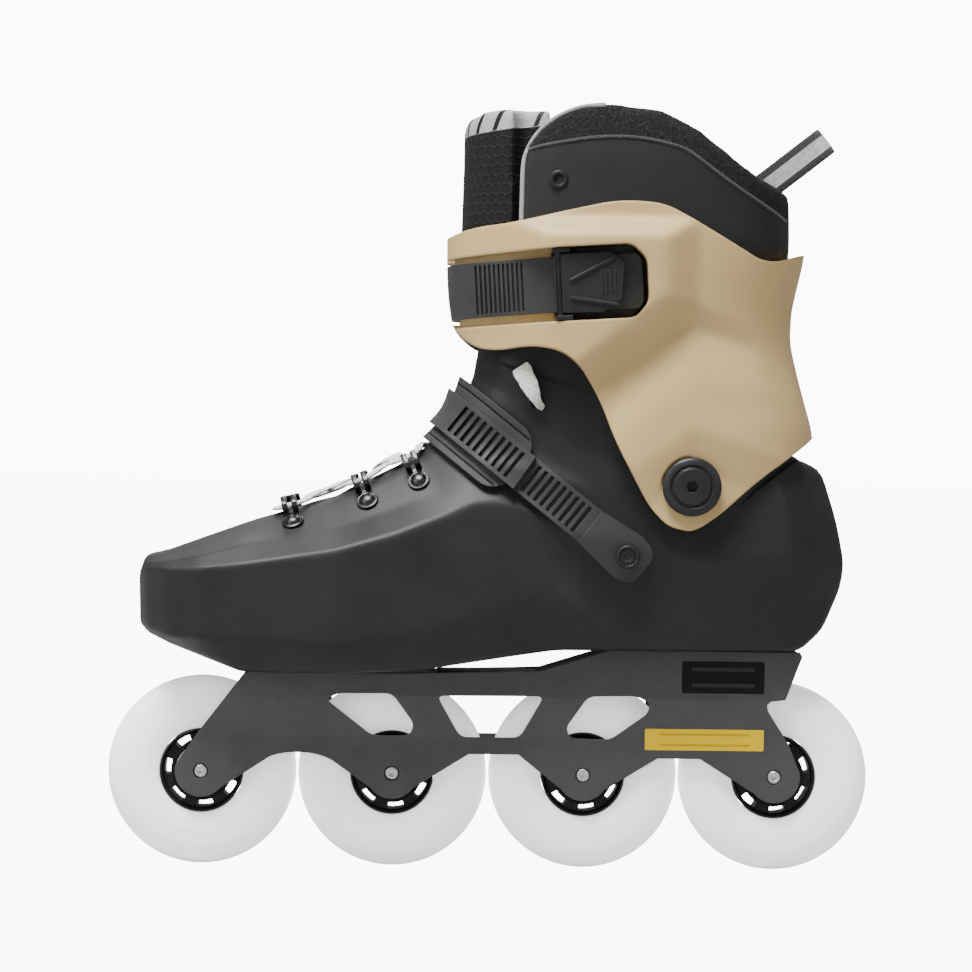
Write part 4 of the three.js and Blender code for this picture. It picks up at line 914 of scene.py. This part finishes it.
collarEye = (26.6, 46.3, 290.5)
for name, s in (("outer", -1), ("inner", 1)):
    cap = [(0, 39.2), (5, 39.2), (5, 49.5), (12.3, 49.5), (12.3, 51.2), (12, 51.9), (11.2, 52.5), (9.2, 52.9),
           (8.9, 52.5), (8.4, 52.3), (8, 52.6), (7.6, 53.2), (6.8, 53.5), (0, 53.6)]
    turnedPart(f"pivotCap_{name}", cap, (pivotAt[0], 0, pivotAt[1]), (0, s, 0), glossBlack, "cuff",
               [f"cuff_pivot_{name}"], (2.6, 50.8, 60), 96)
    out = 51.8 if s < 0 else 51
    head = [(0, 41), (2.5, 41), (2.5, out - 0.6), (5, out - 0.6), (5, out + 0.6), (4.7, out + 1.2), (4.2, out + 1.4),
            (3.6, out + 1.2), (3.3, out + 0.6), (2.9, out + 0.9), (0, out + 1)]
    turnedPart(f"instepScrew_{name}", head, (instep["screw"][0], 0, instep["screw"][1]), (0, s, 0), glossBlack,
               "boot", [f"instep_screw_{name}"], (1.9, out + 0.6, 80))
    ex, ey, ez = collarEye
    ring = [(r, ey + rise) for r, rise in ((2, 0.2), (4, 0.2), (4, 0.7), (3.6, 1.2), (2.9, 1.4), (2.3, 1.2),
                                           (2, 0.7), (2, 0.2))]
    turnedPart(f"collarEyelet_{name}", ring, (ex, 0, ez), (0, s, 0), glossBlack, "cuff", [f"eyelet_{name}"],
               count=48)
rivetAt = slanted([cuff["rivet"]])[0]
turnedPart("strapRivet", [(0, 45.6), (1.5, 45.6), (1.5, 51.1), (4.6, 51.1), (4.5, 51.6), (3.8, 52.3), (2, 52.7),
                          (0, 52.8)], (rivetAt[0], 0, rivetAt[1]), (0, 1, 0), glossBlack, "cuff",
           ["cuff_strap_rivet"], count=48)
print("cuff and pivots built")


def makeCuffStrap():
    h = strap["width"] / 2
    body = cuffForm("cuffLadder", strap["face"], 160)
    carve(body, cuffForm("under", strap["back"], 160))
    outer = slanted([[-90, -h], [20, -h], [22, -h + 3], [22, h - 3], [20, h], [-90, h]])
    inner = slanted([[-90, -h], [-6, -h], [-2, -h + 4], [-2, h - 4], [-6, h], [-90, h]])
    reach = prism("outer", rounded(outer, 1.2), -80, 0.01)
    carve(reach, prism("inner", rounded(inner, 2), 0, 80), "UNION")
    carve(body, reach, "INTERSECT")
    edge, thin = h - strap["margin"], strap["rib"]
    ribs = [prism("rib", slanted([[a, -edge], [a + thin, -edge], [a + thin, edge], [a, edge]]), -80, -20)
            for a in strap["firstRib"] + strap["pitch"] * np.arange(strap["ribs"])]
    grooves = gathered("grooves", ribs)
    carve(grooves, layer(cuffForm, 4, strap["floor"], 160), "INTERSECT")
    carve(body, grooves)
    carve(body, rod(strap["hole"], 30, 60, (rivetAt[0], 0, rivetAt[1]), count=32))
    return dress(body, strapBlack, "cuff", ["cuff_strap"], angle=28)


def makeCuffLever():
    # wedge with two converging raised lines and four short grip ribs
    body = prism("cuffLever", rounded(slanted([[-14.8, -12], [5, -12.4], [12.6, -7.6], [14.6, 8], [9, 12.4],
                                               [-14.8, 12.4]]), 0.9, 3), -57.2, -52.9)
    x, z = slanted([[-13, 0]])[0]
    axis = (-math.sin(strap["tilt"]), 0, math.cos(strap["tilt"]))
    carve(body, rod(1.5, -30, 30, (x, -55.3, z), axis, 24))
    lines = [prism("line", slanted(o), low, -57) for o, low in (
        ([[-8.6, 1.7], [10.4, 10.6], [10.6, 9.4], [-8.4, 0.6]], -58.1),
        ([[-8.4, -5.2], [11.6, -9.4], [11.6, -10.4], [-8.6, -6.4]], -58.1),
        *[([[a, -5.4 + 0.4 * i], [a + 0.8, -5.4 + 0.4 * i], [a + 0.8, 4.8], [a, 4.8]], -57.6)
          for i, a in enumerate((4.2, 6.1, 8.0, 9.9))])]
    carve(body, gathered("lines", lines), "UNION")
    slot = prism("step", slanted([[-15, -13], [-11.2, -13], [-11.2, 13], [-15, 13]]), -57.6, -56.5)
    carve(body, slot)
    return dress(body, glossBlack, "cuff_lever", ["cuff_buckle_lever"], 0.22, 24)


makeCuffStrap()
makeCuffLever()
pinAxis = (-math.sin(strap["tilt"]), 0, math.cos(strap["tilt"]))
pinAt = slanted([[-13, 0]])[0]
pinProfile = [(0, -15.2), (1, -15.2), (1.2, -15), (1.2, 15), (1, 15.2), (0, 15.2)]
dress(lathe("cuffPin", pinProfile, (pinAt[0], -55.3, pinAt[1]), pinAxis, 32), darkSteel, "cuff", ["cuff_buckle_pin"])
print("cuff strap and buckle built")


# instep strap
def slope(points):
    # points along and across the instep band, from its screw
    points = np.asarray(points, float)
    d, w = np.array(instep["along"]), np.array(instep["across"])
    return np.array(instep["screw"]) + points[:, :1] * d + points[:, 1:] * w


def bandForm(name, grow, soft=3):
    return bootForm(name, grow, first=5.0, last=16.0, spacing=2.4, soft=soft)


def band(outline, low, high, radius=0.0, name="band"):
    flat = rounded(slope(outline), radius, 4) if radius else slope(outline)
    return prism(name, flat, low, high)


def makeInstepPad():
    h = instep["pad"] / 2
    body = bandForm("instepPadMoulded", instep["padTop"])
    carve(body, bandForm("under", instep["low"]))
    reach = band([[58, -h + 6], [64, -h], [112, -h], [112, h], [64, h], [58, h - 6]], -80, 0.01, 4)
    carve(reach, band([[33.5, -h], [112, -h], [112, h], [33.5, h]], 0, 80, 2), "UNION")
    carve(body, reach, "INTERSECT")
    for w in (-h + 2.6, h - 3.3):  # a moulded groove along each edge
        line = layer(bandForm, 6, 2.5)
        carve(line, band([[62, w], [104, w], [104, w + 0.7], [62, w + 0.7]], -80, 0), "INTERSECT")
        carve(body, line)
    return dress(body, padBlack, "boot", ["instep_pad"], angle=28)


def makeInstepStrap():
    h = instep["width"] / 2
    body = bandForm("instepLadder", instep["strapTop"], 4)
    tail = bandForm("tail", 3.5)
    carve(tail, band([[57.6, -40], [140, -40], [140, 40], [57.6, 40]], -80, 80), "INTERSECT")
    inner = bandForm("tailInner", 3.5)
    carve(inner, band([[15, -40], [140, -40], [140, 40], [15, 40]], 0, 80), "INTERSECT")
    carve(tail, inner, "UNION")
    over = layer(bandForm, 12, 3.4)
    carve(over, prism("step", slope([[20, -20], [54, -20], [56.5, 20], [20, 20]]), -80, 0), "INTERSECT")
    reach = band([[-9, -6], [-6, -9], [0, -10.5], [20, -h], [112, -h], [112, h], [20, h], [0, 10.5], [-6, 9],
                  [-9, 6]], -80, 0.01, 3)
    carve(reach, band([[26, -h], [112, -h], [112, h], [26, h], [22, h - 4], [22, -h + 4]], 0, 80, 2), "UNION")
    carve(body, reach, "INTERSECT")
    carve(body, tail)
    carve(body, over)
    carve(body, bandForm("low", instep["low"]))
    edge, wide = h - instep["margin"], instep["groove"]
    for first, count, base in instep["grooves"]:
        ribs = gathered("grooves", [
            band([[d, -edge], [d + wide, -edge], [d + wide, edge], [d, edge]], -80, 0)
            for d in first + instep["pitch"] * np.arange(count)])
        carve(ribs, layer(bandForm, 9, base, 4), "INTERSECT")
        carve(body, ribs)
    screw = (instep["screw"][0], 0, instep["screw"][1])
    carve(body, rod(instep["hole"], -80, 0, screw, count=32))
    return dress(body, strapBlack, "boot", ["instep_strap"], angle=28)


makeInstepPad()
makeInstepStrap()
lever = band([[10.5, -8.8], [10.5, 8.8], [33, 7], [37, 3], [37, -3], [33, -7]], 51.8, 56.2, 1.5, "instepLever")
x, z = slope([[13, 0]])[0]
axis = (instep["across"][0], 0, instep["across"][1])
carve(lever, rod(1.5, -30, 30, (x, 54, z), axis, 24))
dress(lever, glossBlack, "instep_lever", ["instep_buckle_lever"], 0.4, 30)
pinProfile = [(0, -11.8), (1, -11.8), (1.2, -11.6), (1.2, 11.6), (1, 11.8), (0, 11.8)]
dress(lathe("instepPin", pinProfile, (x, 54, z), axis, 32), brightSteel, "boot", ["instep_buckle_pin"])
print("instep strap built")


# lacing
def makeHook(number, k, s):
    place, out = onBoot(k, s * hooks["across"], 0.3)
    away = (Vector((0, s, 0)) - out * s * out.y).normalized()
    along = away.cross(out).normalized()
    profile = [(0, 0), (4.6, 0), (4.7, 0.35), (4.5, 0.8), (4.1, 0.95), (3.7, 0.75), (3.5, 0.8),
               *[(3.3 * math.cos(a), 0.8 + 1.9 * math.sin(a)) for a in np.linspace(0.1, math.pi / 2, 9)]]
    profile[-1] = (0, profile[-1][1])
    disc = lathe("disc", profile, place, out, 48)
    # two flat hooks, each an outline in the plane of away and out, given a width
    sketch = np.array([[-4.6, 0.1], [-5.0, 5.0], [-5.7, 6.0], [-7.4, 6.5], [-11.2, 6.5], [-12, 5.9], [-11.8, 5.2],
                       [-7.4, 5.1], [-6.4, 4.6], [-6.1, 3.6], [-6.1, 0.1]])
    sketch = rounded(sketch, 0.7, 3)
    prongs = []
    for start in (-3.3, 0.9):
        rings = np.array([[place + away * a + out * b + along * (start + step) for a, b in sketch]
                          for step in (0, 0.25, 2.15, 2.4)], float)
        middle = rings.mean(1, keepdims=True)
        rings[[0, -1]] = middle[[0, -1]] + (rings[[0, -1]] - middle[[0, -1]]) * 0.94
        prongs.append(skin("prong", rings))
    name = "outer" if s < 0 else "inner"
    rings = np.array([[place + away * a + out * b + along * c for a, c in ((-1, -3.4), (-1, 3.4), (-5.6, 3.3),
                      (-6.1, 2.8), (-6.1, -2.8), (-5.6, -3.3))] for b in (0.05, 0.85)], float)
    plate = gathered(f"hook{number}_{name}", [disc, skin("plate", rings), *prongs])
    return dress(plate, darkSteel, "boot", [f"hook_{number}_{name}"], angle=40)


for number, k in enumerate(hooks["rows"]):
    for s in (-1, 1):
        makeHook(number + 1, k, s)

# turn: half the loop at a hook, measured along the boot; reach: from the hook's rivet to the loop's far end
lace = {"wide": 4.6, "thick": 1.7, "turn": 6.5, "reach": 8.4}


def laceRoute():
    # the lace's points, the way out under each and its share of the width: in under a hook's tips, out
    # again, and over the throat to the other side
    points = []
    put = lambda k, y, lift, share=1.0: points.append((*onBoot(k, y, lift), share))

    def turn(k, s, way):
        low, high = bootRow(k - 0.5), bootRow(k + 0.5)
        t = way * lace["turn"] / math.hypot(high[2] - low[2], high[3] - low[3])
        y = hooks["across"] - lace["reach"]
        for kk, yy, lift, share in ((k + t, y - 4.5, 2.8, 0.95), (k + t * 0.62, y - 1, 2.8, 0.8), (k, y, 2.8, 0.75),
                                    (k - t * 0.62, y - 1, 2.8, 0.8), (k - t, y - 4.5, 2.8, 0.95)):
            put(kk, s * yy, lift, share)

    def across(k0, k1, s, h):
        for y, rise in ((14, 2.2), (0, 1.6), (-14, 2.2)):
            put(k0 + (k1 - k0) * (22 - y) / 44, s * y, max(rise, h), 1.5)
    a, b, c = hooks["rows"]
    under = [(11.2, 10, -3), (10.2, 10, -3), (9.2, 10, -3), (8.3, 10, -2.8), (7.7, 10, -1.7), (7.25, 13, 1.6)]
    for k, y, lift in under:
        put(k, y, lift)
    # each turn: row, side, way round; then the crossing that follows: from row, to row, side, lift
    steps = [(c, 1, 1, (c - 0.2, b + 0.2, 1, 1.5)), (b, -1, 1, (b - 0.2, a + 0.1, -1, 1.5)),
             (a, 1, 1, (a - 0.12, a - 0.12, 1, 1.5)), (a, -1, -1, (a + 0.1, b - 0.2, -1, 3.3)),
             (b, 1, -1, (b + 0.2, c - 0.2, 1, 3.3)), (c, -1, -1, None)]
    for row, side, way, crossing in steps:
        turn(row, side, way)
        if crossing:
            across(*crossing)
    for k, y, lift in under[::-1]:
        put(k, -y, lift)
    return points


def curved(points, fine):
    # Catmull-Rom line through points: the four nearest weighted by cubics of the share of the way along
    p = np.concatenate([[2 * points[0] - points[1]], points, [2 * points[-1] - points[-2]]])
    t = np.linspace(0, 1, fine, endpoint=False)[:, None, None]
    a, b, c, d = p[:-3], p[1:-2], p[2:-1], p[3:]
    line = 0.5 * (2 * b + (c - a) * t + (2 * a - 5 * b + 4 * c - d) * t ** 2 + (3 * b - a - 3 * c + d) * t ** 3)
    return np.concatenate([line.transpose(1, 0, 2).reshape(-1, points.shape[1]), points[-1:]])


def ribbon(name, points, outs, wide, thick, fine=10, puff=0.0, shares=None):
    # a flat cord: a rounded box of wide by thick carried along a curve, its flat side on the surface
    line, out = curved(points, fine), curved(outs, fine)
    way = np.gradient(line, axis=0)
    way /= np.linalg.norm(way, axis=1)[:, None]
    side = np.cross(way, out)
    side /= np.linalg.norm(side, axis=1)[:, None]
    rise = np.cross(side, way)
    t = np.linspace(0, 2 * math.pi, 20, endpoint=False)
    across = np.sign(np.cos(t)) * np.abs(np.cos(t)) ** 0.6 * wide / 2
    lift = np.sign(np.sin(t)) * np.abs(np.sin(t)) ** 0.8 * thick / 2
    far = np.concatenate([[0], np.cumsum(np.linalg.norm(np.diff(line, axis=0), axis=1))])
    swell = 1 + puff * np.sin(far * 0.9) * np.sin(far * 0.23 + 1)
    if shares is not None:  # share of the full width at each of the points
        swell = swell * curved(np.asarray(shares, float)[:, None], fine)[:, 0]
    rings = line[:, None] + side[:, None] * across[:, None] * swell[:, None, None] + rise[:, None] * lift[:, None]
    lengths = np.stack(np.broadcast_arrays(far[:, None] * mm, across * mm), -1).reshape(-1, 2)
    return skin(name, rings, lengths), far[-1]


route = laceRoute()
points = np.array([tuple(p) for p, out, share in route])
outs = np.array([tuple(out) for p, out, share in route])
made, laceLength = ribbon("laceCord", points, outs, lace["wide"], lace["thick"], 8, 0.05, [r[2] for r in route])
dress(made, laceWhite, "boot", ["lace"], angle=60)
for name, s in (("outer", -1), ("inner", 1)):
    # short run of the same lace from the shell's top eyelet up under the cuff
    ex, ez = shell["eyelet"]
    end = np.array([(ex + 2.2, s * 38.5, ez - 2.5), (ex, s * 41.3, ez), (ex - 2.4, s * 42.2, ez + 5),
                    (ex - 5.4, s * 41, ez + 11), (ex - 7.2, s * 39.4, ez + 14.5)])
    face = np.array([(0.1, s, 0.1), (0.1, s, 0.1), (-0.1, s, 0.1), (-0.25, s, 0), (-0.3, s, 0)])
    made, _ = ribbon(f"laceTop_{name}", end, face, 7.8, 1.8, 8, 0.05, [0.35, 0.5, 0.85, 1.05, 1.0])
    dress(made, laceWhite, "boot", (), angle=60)
print(f"laced, {laceLength:.0f} mm of lace on the hooks")


# padded pieces
padding = {
    # node: voxel, pressure, furthest move, shrink before it swells, body, material, slot
    "liner_collar": (2.6, 3.0, 1.6, 0.5, "cuff", linerCloth, "liner_fabric"),
    "tongue_upper": (2.6, 3.0, 1.4, 0.5, "cuff", tongueMesh, "tongue_mesh"),
    "tongue_lower": (4.0, 2.0, 0.4, 0.5, "boot", tongueMesh, "tongue_mesh"),
    "liner_foot": (4.0, 2.0, 0.4, 0.5, "boot", linerCloth, "liner_fabric")}


def vertexRows(mesh, key):
    # every vertex's place (co) or normal, one row each
    out = np.zeros(len(mesh.vertices) * 3)
    mesh.vertices.foreach_get(key, out)
    return out.reshape(-1, 3)


def evened(made, voxel):
    # remeshed at an even spacing and smoothed
    weld(made)
    step = made.modifiers.new("even", "REMESH")
    step.mode, step.voxel_size = "VOXEL", voxel * mm
    settle(made)
    step = made.modifiers.new("soften", "SMOOTH")
    step.factor, step.iterations = 0.5, 3
    settle(made)


def makePadded(node):
    # the piece's own form remeshed, drawn in a little, then swollen as filled cloth
    voxel, pressure, cap, shrink, body, material, slot = padding[node]
    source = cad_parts[node].data.copy()
    made = bpy.data.objects.new(node + "_padded", source)
    scene.collection.objects.link(made)
    evened(made, voxel)
    start = vertexRows(made.data, "co") - vertexRows(made.data, "normal") * shrink * mm
    made.data.vertices.foreach_set("co", start.ravel())
    made.data.update()
    cloth = made.modifiers.new("cloth", "CLOTH")
    cloth.settings.use_pressure, cloth.settings.uniform_pressure_force = True, pressure
    cloth.settings.effector_weights.gravity = 0
    cloth.settings.quality = 4
    for number in range(1, 16):
        scene.frame_set(number)
    settle(made)
    scene.frame_set(1)
    move = vertexRows(made.data, "co") - start
    far = np.linalg.norm(move, axis=1)[:, None]
    move *= np.minimum(1, cap * mm / np.maximum(far, 1e-9))
    made.data.vertices.foreach_set("co", (start + move).ravel())
    made.data.update()
    if len(made.data.polygons) < 45000:
        step = made.modifiers.new("fine", "SUBSURF")
        step.levels = step.render_levels = 1
        settle(made)
    dress(made, material, body, [node], angle=180)
    print(node, "padded,", len(made.data.polygons), "faces")
    return made


collar = makePadded("liner_collar")
for node in ("tongue_upper", "tongue_lower", "liner_foot"):
    makePadded(node)

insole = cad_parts["insole"].data.copy()
sock = bpy.data.objects.new("insole_felt", insole)
scene.collection.objects.link(sock)
evened(sock, 2.4)
dress(sock, insoleFelt, "boot", ["insole"], angle=180)


# seams and piping on the collar
def laidOn(target, points, s):
    # side points [x, z] dropped on the outer face of side s, with the way out there
    places, outs = [], []
    for x, z in points:
        hit, place, out, _ = target.ray_cast(Vector((x * mm, s * 0.08, z * mm)), Vector((0, -s, 0)))
        if hit:
            places.append(tuple(place / mm))
            outs.append(tuple(out))
    return np.array(places), np.array(outs)


seamLine = np.array([[10.6, 302.1], [18, 304.2], [27.1, 306], [43.8, 308.3], [60.5, 308.1], [77.3, 304.5],
                     [86, 299.4], [94.2, 293.4], [106.8, 285.2], [123.6, 275.4]])
frontLine = np.array([[11, 262], [11.4, 272], [11.6, 282], [11.8, 292], [12.6, 300], [15.4, 306.5], [19.6, 311.8],
                      [25.4, 316.4], [32, 319.6], [38, 321.2], [46, 321.8]])
bpy.context.view_layer.update()
for name, s in (("outer", -1), ("inner", 1)):
    for label, line, wide, thick, material, sink in (("seam", seamLine, 1.5, 1.3, seamBlack, -0.1),
                                                     ("piping", frontLine, 2.0, 1.9, pipingGrey, 0.1)):
        places, outs = laidOn(collar, curved(line, 4), s)
        made, _ = ribbon(f"{label}_{name}", places + outs * sink, outs, wide, thick, 2)
        dress(made, material, "cuff", (), angle=60)
print("seams and piping sewn")


# pull tab
tab = {"at": (113, 288.6), "way": (0.787, 0.617), "long": 37, "wide": 12.4, "half": 8, "thick": 1.8}


def makeTab():
    # webbing loop: straight runs and a half turn, its width across the slope
    way = np.array([tab["way"][0], 0, tab["way"][1]])
    rise = np.array([-tab["way"][1], 0, tab["way"][0]])
    r = tab["half"] - tab["thick"] / 2
    turn = np.radians(np.linspace(90, -90, 25))
    run = np.linspace(-5, tab["long"] - tab["half"], 14)
    path = np.concatenate([np.stack([run, 0 * run + r], 1),
                           np.stack([tab["long"] - tab["half"] + r * np.cos(turn), r * np.sin(turn)], 1)[1:-1],
                           np.stack([run[::-1], 0 * run - r], 1)])
    line = np.array([tab["at"][0], 0, tab["at"][1]]) + path[:, :1] * way + path[:, 1:] * np.array([0, 1, 0])
    step = np.gradient(path, axis=0)
    step /= np.linalg.norm(step, axis=1)[:, None]
    out = np.stack([-step[:, 1], step[:, 0]], 1)
    out = out[:, :1] * way + out[:, 1:] * np.array([0, 1, 0])
    t = np.linspace(0, 2 * math.pi, 28, endpoint=False)
    across = np.sign(np.cos(t)) * np.abs(np.cos(t)) ** 0.35 * tab["wide"] / 2
    lift = np.sign(np.sin(t)) * np.abs(np.sin(t)) ** 0.7 * tab["thick"] / 2
    rings = line[:, None] + rise * across[:, None] + out[:, None] * lift[:, None]
    far = np.concatenate([[0], np.cumsum(np.linalg.norm(np.diff(line, axis=0), axis=1))])
    lengths = np.stack(np.broadcast_arrays(far[:, None] * mm, across * mm), -1).reshape(-1, 2)
    return dress(skin("pullTab", rings, lengths), tabWeb, "cuff", ["pull_tab"], angle=50)


makeTab()
print("pull tab sewn")

# finishes of the turned and stamped parts that keep their own shape
kept = {"cuff_buckle_base": glossBlack, "instep_buckle_base": glossBlack, "mount_bolt_front": darkSteel,
        "mount_bolt_rear": darkSteel, **{f"spacer_{n}": brightSteel for n in range(1, 5)}}
for node, material in kept.items():
    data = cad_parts[node].data
    data.materials.clear()
    data.materials.append(material)
